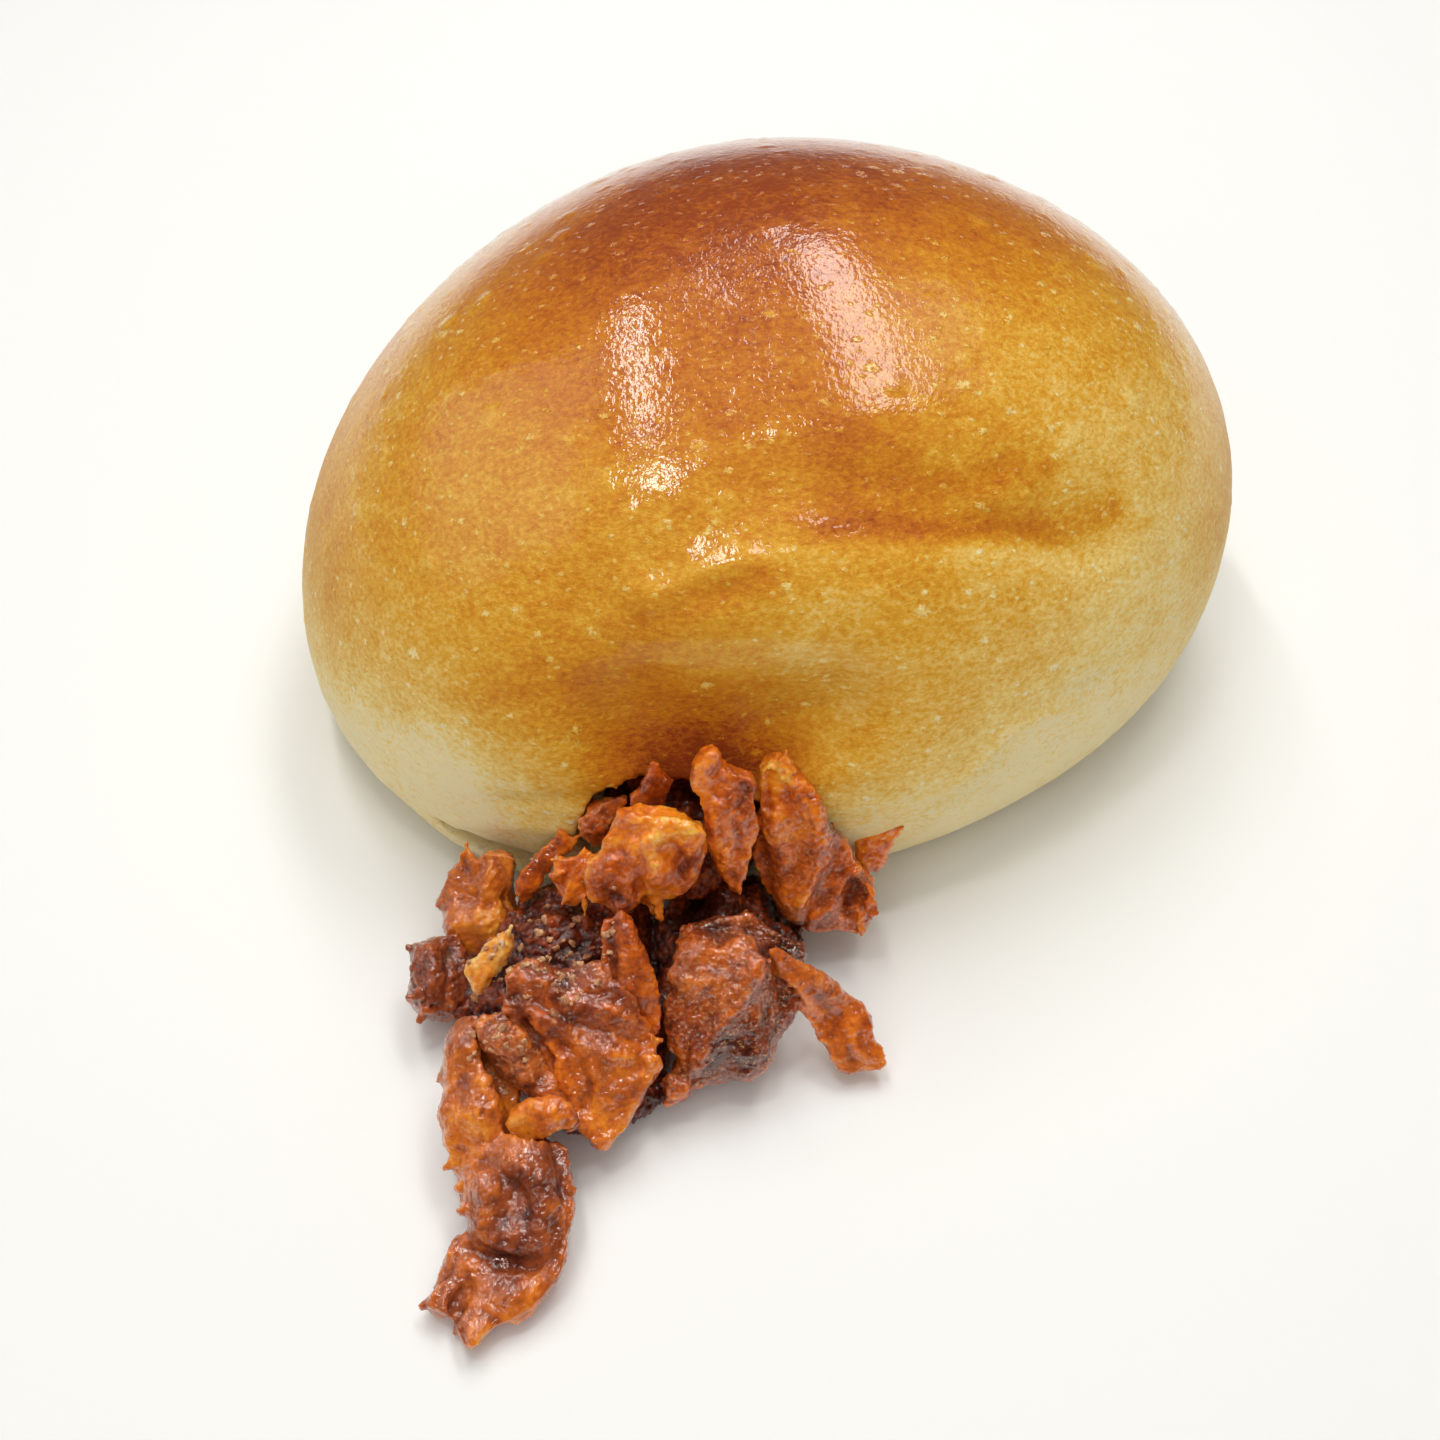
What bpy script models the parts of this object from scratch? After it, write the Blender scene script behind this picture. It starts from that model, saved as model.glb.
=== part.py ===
"""A baked roast pork bun whose front seam has opened, with its chopped roast pork spilling out.

Sizes are in millimetres, in the bun's own frame: the origin is the middle of the bun's flat base,
+Z is up and the open mouth faces -Y. MM turns them into Blender's metres.
"""

import math
from collections import namedtuple

import bmesh
import bpy
from mathutils import Matrix, Vector, noise

MM = 0.001

# ---- the bun -------------------------------------------------------------------------------------
BUN_RADIUS = 50.0
BUN_HEIGHT = 50.0
BELLY_HEIGHT = 12.0  # the bun is widest here
BASE_SHARE = 0.87  # the flat base against the widest radius
DOME_POWER_UP, DOME_POWER_OUT = 2.2, 1.9  # the dome's side view is a superellipse with these powers
OVAL, OVAL_TURN = 0.044, 45.0  # the plan is stretched by this share, towards this direction in degrees
LOBE, LOBE_TURN = 0.025, -13.0  # and has three soft corners
LEAN = Vector((0.10, -0.06))  # how far the dome leans for each millimetre of height
RINGS_BELOW, RINGS_ABOVE, SEGMENTS = 5, 21, 60
HEART = Vector((0.0, 0.0, 16.0))  # dents push the crust towards this point

Dent = namedtuple("Dent", "start end width depth")
DENTS = (
    Dent((-2.0, -12, 49), (-2.0, -29, 44), 7.5, 0.9),  # soft valley down the front of the top
    Dent((3, -35, 41), (31, -31, 33.5), 4.2, 1.3),  # long trough across the right
    Dent((-2, -37, 40), (-14, -42, 33), 3.2, 0.8),  # short trough left of it
    Dent((-1, -40.5, 36.5), (-9, -42.5, 34), 1.8, -0.7),  # raised wrinkle between the troughs
    Dent((-34, -39, 15), (-10, -45, 29), 3.0, 0.9),  # crease round the left cheek
    Dent((-11, -48, 24), (4, -48, 25), 5.5, 4.2),  # the crust dives into the mouth
    Dent((2, -49, 22), (9, -47.5, 26), 2.6, 1.5),  # right end of the mouth's crease
    Dent((16, -46, 11), (32, -38, 18), 2.2, 0.8),  # creases in the pale right side
    Dent((12, -47.5, 17), (20, -45, 10), 5.0, -1.0),  # full right cheek
    Dent((-16, -48, 3), (-31, -42, 2), 3.0, -1.2),  # bottom lip, pushed out on the left
)

# ---- the mouth, a pocket torn open in the front seam ---------------------------------------------
Hollow = namedtuple("Hollow", "middle radii turn")
MOUTH = (
    Hollow((-6.0, -39, 11.4), (10.5, 26, 9.6), -6.0),
    Hollow((-20.5, -43, 5.8), (13.0, 7.5, 1.3), -24.0),  # the seam, still split on the left
)

# ---- the colours, as red, green and blue from 0 to 255, and each one's roughness -----------------
Colour = namedtuple("Colour", "red green blue roughness")
CRUST = Colour(212, 152, 62, 0.38)
GLAZED = Colour(168, 74, 26, 0.28)
BROWN = Colour(126, 66, 42, 0.35)
DARK = Colour(98, 48, 38, 0.35)
ORANGE = Colour(200, 104, 34, 0.28)
GOLDEN = Colour(226, 146, 44, 0.25)
SAUCE = Colour(74, 34, 22, 0.3)

# ---- the pork ------------------------------------------------------------------------------------
GAP = 0.3  # clear space between pieces that touch
SPARE = 1.15  # a cutter stands off by this share of the gap, because its corners pull in
FACING = Vector((0, -1, 1)).normalized()  # a piece that isn't rolled turns its broad face this way
SIDE_POINTS, RING_POINTS = 14, 9

# A lump runs from foot to head, with three widths and three thicknesses on the way; square rounds its section,
# from 2 for an oval to 6 for a block, and bow bends it sideways.
Lump = namedtuple("Lump", "foot head wide thick roll square bow", defaults=(0, 3.2, 0))
Piece = namedtuple("Piece", "name colour lumps rough scoops", defaults=(0.35, ()))

PIECES = (
    # shreds and small pieces that lie on top
    Piece("folded_flap", ORANGE, (
        Lump((-21.2, -76.4, 6.2), (-15.4, -74.8, 7.6), (3.2, 4.2, 2.0), (2.2, 3.0, 1.8), -12, 2.8),
    ), 0.3),
    Piece("crumbly_chunk", BROWN, (
        Lump((-18.6, -72.8, 6.4), (-23.0, -68.6, 10.0), (3.8, 4.6, 4.0), (4.4, 5.0, 4.2), 0, 2.6),
    ), 0.55),
    Piece("fat_flake", GOLDEN, (
        Lump((-25.0, -64.6, 8.8), (-21.8, -60.4, 12.6), (1.8, 3.6, 1.6), (1.2, 1.8, 1.0), -14, 2.6),
    ), 0.2),
    Piece("leaning_flake", ORANGE, (
        Lump((-22.2, -53.8, 7.0), (-17.5, -49.0, 13.4), (2.4, 2.8, 1.0), (1.6, 1.9, 1.0), 20, 2.6),
    ), 0.25),
    Piece("torn_flake", ORANGE, (
        Lump((-17.4, -55.9, 10.0), (-14.4, -53.4, 14.8), (1.6, 3.4, 2.7), (1.6, 2.2, 1.6), -16, 2.6),
    ), 0.3),
    Piece("back_fin", ORANGE, (
        Lump((-9.8, -49.4, 14.0), (-9.0, -48.4, 21.6), (3.2, 3.4, 1.0), (1.8, 2.0, 1.0), 14, 2.6),
    ), 0.2),
    Piece("side_fin", ORANGE, (
        Lump((10.4, -48.8, 6.2), (14.4, -46.7, 10.7), (3.6, 3.0, 0.9), (1.4, 1.5, 0.8), 10, 2.6),
    ), 0.15),
    Piece("hanging_strip", ORANGE, (
        Lump((10.4, -67.3, 1.9), (7.4, -63.0, 6.2), (3.0, 4.7, 3.2), (2.6, 3.0, 2.4), 0, 2.6, 0.3),
        Lump((8.6, -64.4, 4.8), (0.6, -62.2, 12.6), (3.2, 3.2, 2.2), (2.2, 2.4, 1.8), 0, 2.8, 0.3),
    ), 0.3),
    # the chunks that fill the mouth
    Piece("peak_chunk", GLAZED, (
        Lump((-1.9, -54.9, 11.5), (-4.1, -49.9, 24.3), (3.0, 5.8, 2.5), (4, 5, 3), 0, 3.0, 0.3),
    ), 0.4),
    Piece("right_chunk", GLAZED, (
        Lump((6.2, -52.2, 3.8), (1.9, -48.2, 20.2), (7.4, 10.6, 3.1), (7, 7, 4), 0, 4.0, -0.4),
        Lump((10.9, -50.9, 3.0), (5.2, -50.2, 9.5), (4.8, 6.0, 5.7), (6, 6.5, 6), 0, 3.0),
    ), 0.4, (
        Hollow((10.2, -53.6, 4.8), (1.5, 1.8, 2.0), 20.0),
    )),
    Piece("fatty_chunk", GOLDEN, (
        Lump((-7.6, -56.3, 12.6), (-8.5, -54.2, 20.7), (4.6, 7.8, 7.1), (5, 6, 5.2), 4, 4.0),
        Lump((-12.1, -57.8, 10.4), (-12.6, -55.0, 17.8), (2.9, 5.6, 4.6), (4, 6, 5), 0, 2.5),
    ), 0.4),
    Piece("back_lump", BROWN, (
        Lump((-15.6, -49.6, 11.0), (-14.4, -48.6, 16.2), (3.0, 4.2, 3.2), (3.4, 3.8, 3.2), 0, 2.4),
    ), 0.35),
    # the chunks that have tumbled out in front
    Piece("upright_wedge", ORANGE, (
        Lump((-9.5, -67.4, 7.6), (-12.3, -60.3, 15.4), (3.4, 4.6, 2.4), (2.6, 3.4, 2.2), 12, 2.8),
    ), 0.3),
    Piece("big_chunk", GLAZED, (
        Lump((-2.0, -69.8, 2.6), (-2.9, -58.6, 11.9), (8.8, 13.2, 8.0), (6, 10.5, 9.5), 0, 3.6, -0.5),
        Lump((-8.0, -71.0, 0.7), (-4.9, -66.6, 4.6), (1.2, 3.8, 4.6), (1.8, 4, 4.6), 0, 2.6),
    ), 0.5),
    Piece("slab", GLAZED, (
        Lump((-13.3, -77.2, 2.4), (-15.5, -62.6, 11.0), (2.2, 11.4, 13.6), (3, 6.4, 7), 5, 4.2),
    ), 0.4),
    Piece("long_strip", BROWN, (
        Lump((-23.0, -78.6, 3.6), (-25.4, -65.8, 8.4), (5.8, 6.6, 4.6), (6, 6.6, 5.6), -10, 3.4, 0.2),
        Lump((-19.5, -87.6, 2.6), (-21.4, -75.2, 5.2), (7.4, 9.2, 8.2), (5, 6.4, 6.6), -4, 3.0),
        Lump((-22.4, -92.4, 0.8), (-19.3, -84.6, 3.0), (3.6, 7.4, 7.2), (1.6, 2.8, 4.4), 0, 2.8),
        Lump((-27.0, -90.0, 0.9), (-23.6, -84.6, 3.2), (1.6, 2.4, 3.0), (1.6, 2.2, 3.0), 0, 2.6),
        Lump((-27.0, -90.2, 0.8), (-21.6, -90.8, 1.2), (1.4, 1.8, 2.4), (1.2, 1.5, 2.0), 0, 2.4),
    ), 0.4),
    Piece("left_chunk", BROWN, (
        Lump((-25.9, -57.0, 2.8), (-26.2, -48.2, 8.0), (5.4, 8.2, 6.6), (6, 8, 6), 0, 3.2),
    ), 0.45),
    Piece("dark_chunk", DARK, (
        Lump((-28.7, -63.6, 2.8), (-29.6, -56.6, 5.2), (4.0, 5.2, 4.6), (6, 7.2, 6.2), 0, 3.8),
    ), 0.4),
)

# Minced pork in thick sauce runs out of the pocket and lies under and between the pieces.
Mound = namedtuple("Mound", "middle radii fineness", defaults=(2,))
MINCE_ROUGH = 0.7
MINCE = (
    Mound((-6.0, -33, 9.4), (9.6, 21, 7.8), 3),
    Mound((-17.5, -56.5, 3.2), (8.0, 8.5, 6.2), 3),
    Mound((-14.0, -67, 2.0), (7.5, 7.5, 4.0)),
    Mound((-0.8, -54.0, 2.6), (6.0, 6.5, 6.2)),
    Mound((-5.5, -56.5, 1.4), (6.5, 7.5, 3.4)),
)


def clear_scene():
    for thing in list(bpy.data.objects):
        bpy.data.objects.remove(thing, do_unlink=True)


def linear(level):
    """A colour level from 0 to 255 as the light it stands for."""
    share = level / 255
    return share / 12.92 if share <= 0.04045 else ((share + 0.055) / 1.055) ** 2.4


def paint(thing, colour):
    """Gives the object a Principled material of its own."""
    made = bpy.data.materials.new(thing.name)
    made.use_nodes = True
    shader = made.node_tree.nodes["Principled BSDF"]
    shader.inputs["Base Color"].default_value = (*map(linear, (colour.red, colour.green, colour.blue)), 1)
    shader.inputs["Roughness"].default_value = colour.roughness
    shader.inputs["Metallic"].default_value = 0
    thing.data.materials.clear()
    thing.data.materials.append(made)


def object_from(name, bm):
    """The bmesh as an object in the scene, scaled from millimetres."""
    bmesh.ops.scale(bm, verts=bm.verts, vec=(MM, MM, MM))
    mesh = bpy.data.meshes.new(name)
    bm.to_mesh(mesh)
    bm.free()
    made = bpy.data.objects.new(name, mesh)
    bpy.context.scene.collection.objects.link(made)
    return made


def power(value, exponent):
    """A signed power, for superellipses."""
    return math.copysign(abs(value) ** exponent, value)


def apply_modifiers(thing):
    """Replaces the object's mesh with what its modifiers make of it."""
    graph = bpy.context.evaluated_depsgraph_get()
    made = bpy.data.meshes.new_from_object(thing.evaluated_get(graph))
    thing.modifiers.clear()
    thing.data = made


def triangulate(mesh):
    """Splits the mesh into triangles and tells whether it is still closed."""
    bm = bmesh.new()
    bm.from_mesh(mesh)
    bmesh.ops.triangulate(bm, faces=bm.faces)
    closed = all(edge.is_manifold for edge in bm.edges)
    bm.to_mesh(mesh)
    bm.free()
    return closed


def boolean(thing, others, operation):
    """Cuts the others out of the object, or joins them to it, and removes them."""
    if not others:
        return
    tools = bpy.data.collections.new("tools")
    bpy.context.scene.collection.children.link(tools)
    for other in others:
        tools.objects.link(other)
    before = thing.data
    for solver in ("EXACT", "MANIFOLD"):
        thing.data = before
        step = thing.modifiers.new("boolean", "BOOLEAN")
        step.operation = operation
        step.operand_type = "COLLECTION"
        step.collection = tools
        step.solver = solver
        apply_modifiers(thing)
        if triangulate(thing.data):
            break
    for other in others:
        bpy.data.objects.remove(other, do_unlink=True)
    bpy.data.collections.remove(tools)


def keep_largest_body(thing):
    """Drops the loose scraps that a cut can leave."""
    bm = bmesh.new()
    bm.from_mesh(thing.data)
    unseen = set(bm.verts)
    bodies = []
    while unseen:
        body = set()
        queue = [next(iter(unseen))]
        while queue:
            vert = queue.pop()
            if vert in body:
                continue
            body.add(vert)
            queue.extend(edge.other_vert(vert) for edge in vert.link_edges)
        unseen -= body
        bodies.append(body)
    bodies.sort(key=len)
    scraps = [vert for body in bodies[:-1] for vert in body]
    bmesh.ops.delete(bm, geom=scraps, context="VERTS")
    bm.to_mesh(thing.data)
    bm.free()


# ---- the bun's form ------------------------------------------------------------------------------


def plan_radius(turn):
    oval = OVAL * math.cos(2 * (turn - math.radians(OVAL_TURN)))
    lobes = LOBE * math.cos(3 * (turn - math.radians(LOBE_TURN)))
    return BUN_RADIUS * (1 + oval + lobes)


def side_profile():
    """(share of the plan's radius, height) from the base's edge up to just under the top."""
    rings = []
    for step in range(RINGS_BELOW):
        climb = math.pi / 2 * step / RINGS_BELOW
        share = BASE_SHARE + (1 - BASE_SHARE) * math.sin(climb)
        rings.append((share, BELLY_HEIGHT * (1 - math.cos(climb))))
    for step in range(RINGS_ABOVE):
        climb = math.pi / 2 * step / RINGS_ABOVE
        share = math.cos(climb) ** (2 / DOME_POWER_OUT)
        rise = math.sin(climb) ** (2 / DOME_POWER_UP)
        rings.append((share, BELLY_HEIGHT + (BUN_HEIGHT - BELLY_HEIGHT) * rise))
    return rings


def distance_to_line(point, start, end):
    along = end - start
    share = max(0.0, min(1.0, (point - start).dot(along) / along.length_squared))
    return (point - start - along * share).length


def dented(point):
    """The point after every dent has pushed it in, or pulled it out where its depth is below zero."""
    depth = 0
    for dent in DENTS:
        away = distance_to_line(point, Vector(dent.start), Vector(dent.end)) / dent.width
        depth += dent.depth * math.exp(-(away**2))
    moved = point - (point - HEART).normalized() * depth
    moved.z = max(moved.z, 0)
    return moved


def bun_point(turn, share, height):
    reach = plan_radius(turn) * share
    flat = Vector((math.cos(turn), math.sin(turn))) * reach + LEAN * height
    return dented(Vector((flat.x, flat.y, height)))


def hollow_cutter(hollow, around=24, rings=12):
    """An oval ball that a Boolean takes away."""
    bm = bmesh.new()
    bmesh.ops.create_uvsphere(bm, u_segments=around, v_segments=rings, radius=1)
    spin = Matrix.Rotation(math.radians(hollow.turn), 4, "Z")
    place = Matrix.Translation(hollow.middle) @ spin @ Matrix.Diagonal((*hollow.radii, 1))
    bmesh.ops.transform(bm, matrix=place, verts=bm.verts)
    return object_from("hollow", bm)


def make_bun():
    bm = bmesh.new()
    rings = []
    for share, height in side_profile():
        turns = [2 * math.pi * step / SEGMENTS for step in range(SEGMENTS)]
        rings.append([bm.verts.new(bun_point(turn, share, height)) for turn in turns])
    for low, high in zip(rings, rings[1:]):
        for step in range(SEGMENTS):
            beside = (step + 1) % SEGMENTS
            bm.faces.new((low[step], low[beside], high[beside], high[step]))
    top = bm.verts.new(bun_point(0, 0, BUN_HEIGHT))
    for step in range(SEGMENTS):
        bm.faces.new((rings[-1][step], rings[-1][(step + 1) % SEGMENTS], top))
    bm.faces.new(reversed(rings[0]))
    bun = object_from("bun", bm)
    boolean(bun, [hollow_cutter(hollow) for hollow in MOUTH], "DIFFERENCE")
    keep_largest_body(bun)
    return bun


# ---- the pork ------------------------------------------------------------------------------------


def through(three, share):
    """A value along a lump, from its three values at foot, middle and head."""
    foot, middle, head = three
    bulge = 4 * middle - 2 * (foot + head)
    return foot * (1 - share) + head * share + bulge * share * (1 - share) / 2


def lump_frame(lump):
    """The lump's own axes: X across, Y through and Z from foot to head."""
    foot, head = Vector(lump.foot), Vector(lump.head)
    along = (head - foot).normalized()
    across = along.cross(FACING).normalized()
    across.rotate(Matrix.Rotation(math.radians(lump.roll), 3, along))
    deep = along.cross(across)
    axes = Matrix((across, deep, along)).transposed().to_4x4()
    return Matrix.Translation((foot + head) / 2) @ axes


def lump_mesh(lump, rough, seed):
    """A ball drawn out from foot to head, with squared sides and an uneven, torn surface."""
    bm = bmesh.new()
    bmesh.ops.create_uvsphere(bm, u_segments=SIDE_POINTS, v_segments=RING_POINTS, radius=1)
    half = (Vector(lump.head) - Vector(lump.foot)).length / 2
    for vert in bm.verts:
        x, y, z = vert.co
        ring = math.hypot(x, y)
        rise = power(z, 2 / lump.square)
        reach = ring ** (2 / lump.square)
        share = (rise + 1) / 2
        wide, thick = through(lump.wide, share) / 2, through(lump.thick, share) / 2
        across = power(x / ring, 2 / lump.square) if ring > 1e-6 else 0
        deep = power(y / ring, 2 / lump.square) if ring > 1e-6 else 0
        vert.co = (across * reach * wide + lump.bow * (1 - rise * rise), deep * reach * thick, rise * half)
    bmesh.ops.transform(bm, matrix=lump_frame(lump), verts=bm.verts)
    bm.normal_update()
    shift = Vector((seed * 7.3, seed * 3.1, seed * 5.7))
    for vert in bm.verts:
        swell = noise.noise(vert.co * 0.22 + shift) + 0.6 * noise.noise(vert.co * 0.55 + shift)
        vert.co += vert.normal * rough * 1.6 * swell
    return bm


def flatten_foot(thing):
    """Cuts the object off level where it rests on the plate."""
    bm = bmesh.new()
    bm.from_mesh(thing.data)
    everything = bm.verts[:] + bm.edges[:] + bm.faces[:]
    cut = bmesh.ops.bisect_plane(
        bm, geom=everything, plane_co=(0, 0, 0), plane_no=(0, 0, -1), clear_outer=True
    )
    rim = [item for item in cut["geom_cut"] if isinstance(item, bmesh.types.BMEdge)]
    if rim:
        bmesh.ops.holes_fill(bm, edges=rim)
    bmesh.ops.recalc_face_normals(bm, faces=bm.faces)
    bmesh.ops.triangulate(bm, faces=bm.faces)
    bm.to_mesh(thing.data)
    bm.free()


def make_piece(piece, seed):
    bodies = [
        object_from(piece.name, lump_mesh(lump, piece.rough, seed + 0.37 * order))
        for order, lump in enumerate(piece.lumps)
    ]
    whole = bodies[0]
    boolean(whole, bodies[1:], "UNION")
    boolean(whole, [hollow_cutter(hollow, 12, 8) for hollow in piece.scoops], "DIFFERENCE")
    flatten_foot(whole)
    return whole


def mound_mesh(mound, seed):
    bm = bmesh.new()
    bmesh.ops.create_icosphere(bm, subdivisions=mound.fineness, radius=1)
    place = Matrix.Translation(mound.middle) @ Matrix.Diagonal((*mound.radii, 1))
    bmesh.ops.transform(bm, matrix=place, verts=bm.verts)
    bm.normal_update()
    for vert in bm.verts:
        vert.co += vert.normal * MINCE_ROUGH * noise.noise(vert.co * 0.4 + Vector((seed, 0, 0)))
    return bm


def make_mince():
    bodies = [object_from("minced_filling", mound_mesh(mound, seed)) for seed, mound in enumerate(MINCE)]
    whole = bodies[0]
    boolean(whole, bodies[1:], "UNION")
    flatten_foot(whole)
    return whole


def clearance(thing):
    """A copy that stands off the object by the gap, to cut its neighbours with."""
    made = thing.copy()
    made.data = thing.data.copy()
    bpy.context.scene.collection.objects.link(made)
    swell = made.modifiers.new("gap", "DISPLACE")
    swell.mid_level = 0
    swell.strength = GAP * SPARE * MM
    apply_modifiers(made)
    return made


def box_of(thing):
    corners = [thing.matrix_world @ Vector(corner) for corner in thing.bound_box]
    low = Vector([min(corner[axis] for corner in corners) for axis in range(3)])
    high = Vector([max(corner[axis] for corner in corners) for axis in range(3)])
    return low, high


def near(one, other):
    low, high = box_of(one)
    other_low, other_high = box_of(other)
    reach = GAP * MM
    return all(
        low[axis] < other_high[axis] + reach and other_low[axis] < high[axis] + reach for axis in range(3)
    )


def trim(thing, neighbours):
    """Cuts the object back to a small gap from its neighbours, which keep their form."""
    boolean(thing, [clearance(other) for other in neighbours if near(thing, other)], "DIFFERENCE")
    keep_largest_body(thing)


def settle(thing, holder):
    """Moves the object's origin to its middle, parents it and shades it smooth."""
    low, high = box_of(thing)
    middle = (low + high) / 2
    thing.data.transform(Matrix.Translation(-middle))
    thing.location = middle
    thing.parent = holder
    thing.data.shade_smooth()
    thing.data.set_sharp_from_angle(angle=math.radians(50))


def main():
    clear_scene()
    bun = make_bun()
    paint(bun, CRUST)
    settled = [bun]
    for order, piece in enumerate(PIECES):
        made = make_piece(piece, order + 1)
        trim(made, settled)
        paint(made, piece.colour)
        settled.append(made)
    filling = make_mince()
    trim(filling, settled)
    paint(filling, SAUCE)
    holder = bpy.data.objects.new("roast_pork_bun", None)
    bpy.context.scene.collection.objects.link(holder)
    for thing in [*settled, filling]:
        settle(thing, holder)


main()
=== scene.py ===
"""The looks of a baked roast pork bun: its browned crust and the glazed pork that spills from its mouth.

Lengths are in millimetres and angles in degrees unless a name says otherwise; MM turns the lengths into
the scene's metres.
"""

import math
import random
from collections import namedtuple

import bpy
import numpy as np
from mathutils import Euler, Matrix, Quaternion, Vector, kdtree


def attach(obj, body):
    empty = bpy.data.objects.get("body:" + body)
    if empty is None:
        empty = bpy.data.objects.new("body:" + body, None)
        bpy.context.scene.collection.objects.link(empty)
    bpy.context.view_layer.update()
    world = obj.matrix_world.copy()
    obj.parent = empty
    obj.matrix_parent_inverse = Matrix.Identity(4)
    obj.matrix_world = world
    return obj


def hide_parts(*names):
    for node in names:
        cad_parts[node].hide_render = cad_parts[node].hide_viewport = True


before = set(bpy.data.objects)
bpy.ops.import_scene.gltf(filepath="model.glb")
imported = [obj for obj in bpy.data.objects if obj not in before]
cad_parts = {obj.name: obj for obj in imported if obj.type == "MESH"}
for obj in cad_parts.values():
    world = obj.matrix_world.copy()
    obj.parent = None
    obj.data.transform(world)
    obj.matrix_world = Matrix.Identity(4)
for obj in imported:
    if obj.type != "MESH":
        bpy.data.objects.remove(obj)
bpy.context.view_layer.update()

MM = 0.001
MERGE_DISTANCE = 0.01

# ---- the camera: looks down on the bun's mouth from in front --------------------------------------
CAMERA_TARGET = Vector((-3.3, -21.9, 0.0))
CAMERA_DISTANCE = 185.0
CAMERA_PITCH = 45.0
CAMERA_FIELD = 46.0
SENSOR_WIDTH = 36.0

# ---- the bun's measures ----------------------------------------------------------------------------
CRUST_VOXEL = 0.6
# How many times the solid's facets are smoothed away, and how many times the pulled lip is.
CRUST_SMOOTHING = 14
LIP_SMOOTHING = 2

# A fold raises a ridge along its path where its height is positive and sinks a groove where it is
# negative. A fold of colour is browner or paler along its path by its height.
Fold = namedtuple("Fold", "path width height")
CRUST_FOLDS = (
    Fold(((7.5, -35.5, 38), (18, -34.5, 36), (24.5, -33, 33.5), (31.5, -31, 31)), 2.4, -0.25),
    Fold(((8, -32, 40.5), (18.5, -30.5, 39.5), (26, -27, 39)), 2, -0.18),
    Fold(((20, -32, 38), (24, -31, 37)), 1.3, 0.35),
    Fold(((-9, -41.5, 35), (-5, -40.5, 36.5), (-1, -39.5, 37.5)), 1.2, 0.3),
    Fold(((-10, -43, 33), (-5, -42.5, 35), (0.5, -41, 36.5)), 1.3, -0.3),
    Fold(((16.5, -45.5, 10.5), (20.5, -44, 16.5), (23.5, -42, 19), (30, -38, 18.5)), 0.9, 0.7),
    Fold(((17, -45.5, 12.5), (19.5, -44.5, 14), (21.5, -43.5, 15)), 0.9, -0.6),
    Fold(((29.5, -38, 20.5), (32, -36.5, 20), (35, -34.5, 20)), 0.9, -0.5),
    Fold(((-23.5, -47, 14.5), (-19.5, -48.5, 16), (-15, -48.5, 17)), 0.8, -0.35),
    Fold(((-29, -44, 8), (-25, -46.5, 10.5), (-21.5, -48, 12), (-18, -49, 13)), 0.9, 0.3),
)
BROWN_LINES = (
    Fold(((5, -36.5, 38.5), (15, -35, 37), (22, -33, 35.5), (28, -31, 33.5), (33, -28, 33.5)), 1.8, 0.24),
    Fold(((5, -38.5, 37.5), (15, -37, 36), (28, -33, 32)), 1.3, -0.12),
    Fold(((12.5, -32, 40), (19, -31, 39), (26, -28, 38.5)), 1.5, 0.18),
    Fold(((1, -34, 39.5), (5.5, -33, 39.5), (9, -33.5, 39)), 2.4, 0.1),
    Fold(((-10, -43, 33), (-5, -42.5, 35), (0.5, -41, 36.5)), 1.5, 0.14),
    Fold(((-33.5, -40, 19), (-25, -44.5, 24), (-17.5, -45, 27), (-10.5, -44, 29)), 3.5, 0.14),
)

# A pull draws the crust round its middle along by shift: the upper lip sags over the pork.
Pull = namedtuple("Pull", "middle radius shift")
CRUST_PULLS = (
    Pull((-7, -48, 20.5), 5.5, (0, -0.6, -3.0)),
    Pull((0.5, -47.5, 19.5), 4.0, (0, -0.4, -1.6)),
)

# From one height to another the crust gets browner, over a golden belly and a dark crown, and glossier.
Rise = namedtuple("Rise", "low high amount")
FOOT_BROWN = 0.06
BELLY_RISE = Rise(6, 27, 0.42)
CROWN_RISE = Rise(36, 50, 0.3)
FOOT_GLAZE = 0.1
GLAZE_RISE = Rise(24, 40, 0.9)

# Where the oven browned the crust more, or less where the strength is negative. The two patches over the
# mouth are partly browning and partly painted shade, where the crust dives in over the pork.
Patch = namedtuple("Patch", "middle radius strength")
BROWN_PATCHES = (
    Patch((-4, 6, 50), 22, 0.22),
    Patch((20, -16, 45), 14, -0.22),
    Patch((38, -14, 34), 14, -0.15),
    Patch((27, -40, 20), 14, -0.2),
    Patch((-36, -40, 12), 10, -0.2),
    # Painted shade, with some browning: the crust darkens where it dives in over the mouth.
    Patch((-7, -49, 18.5), 7.5, 0.7),
    Patch((1, -48, 20), 5, 0.3),
    Patch((14, -34, 38), 7, 0.06),
    Patch((24, -31, 35), 6, 0.06),
    Patch((-30, -43, 20), 9, -0.22),
    Patch((38, -29, 26), 9, -0.24),
    Patch((6, -41, 33), 5, -0.12),
    Patch((7, -30, 42.5), 3, 0.15),
)
# No part of the crust gets browner than this.
BROWNEST = 1.1

# Blisters in the skin: how many, their smallest and largest radius, and how high they stand.
Blisters = namedtuple("Blisters", "count small large height")
BLISTERS = (Blisters(620, 0.4, 0.75, 0.1), Blisters(90, 0.8, 1.3, 0.16))
# They are drawn within this distance of the middle and these heights, and then put on the nearest skin,
# each with a strength between these.
BLISTER_REACH = 56
BLISTER_HEIGHTS = (8, 56)
BLISTER_STRENGTHS = (0.3, 1)
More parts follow.
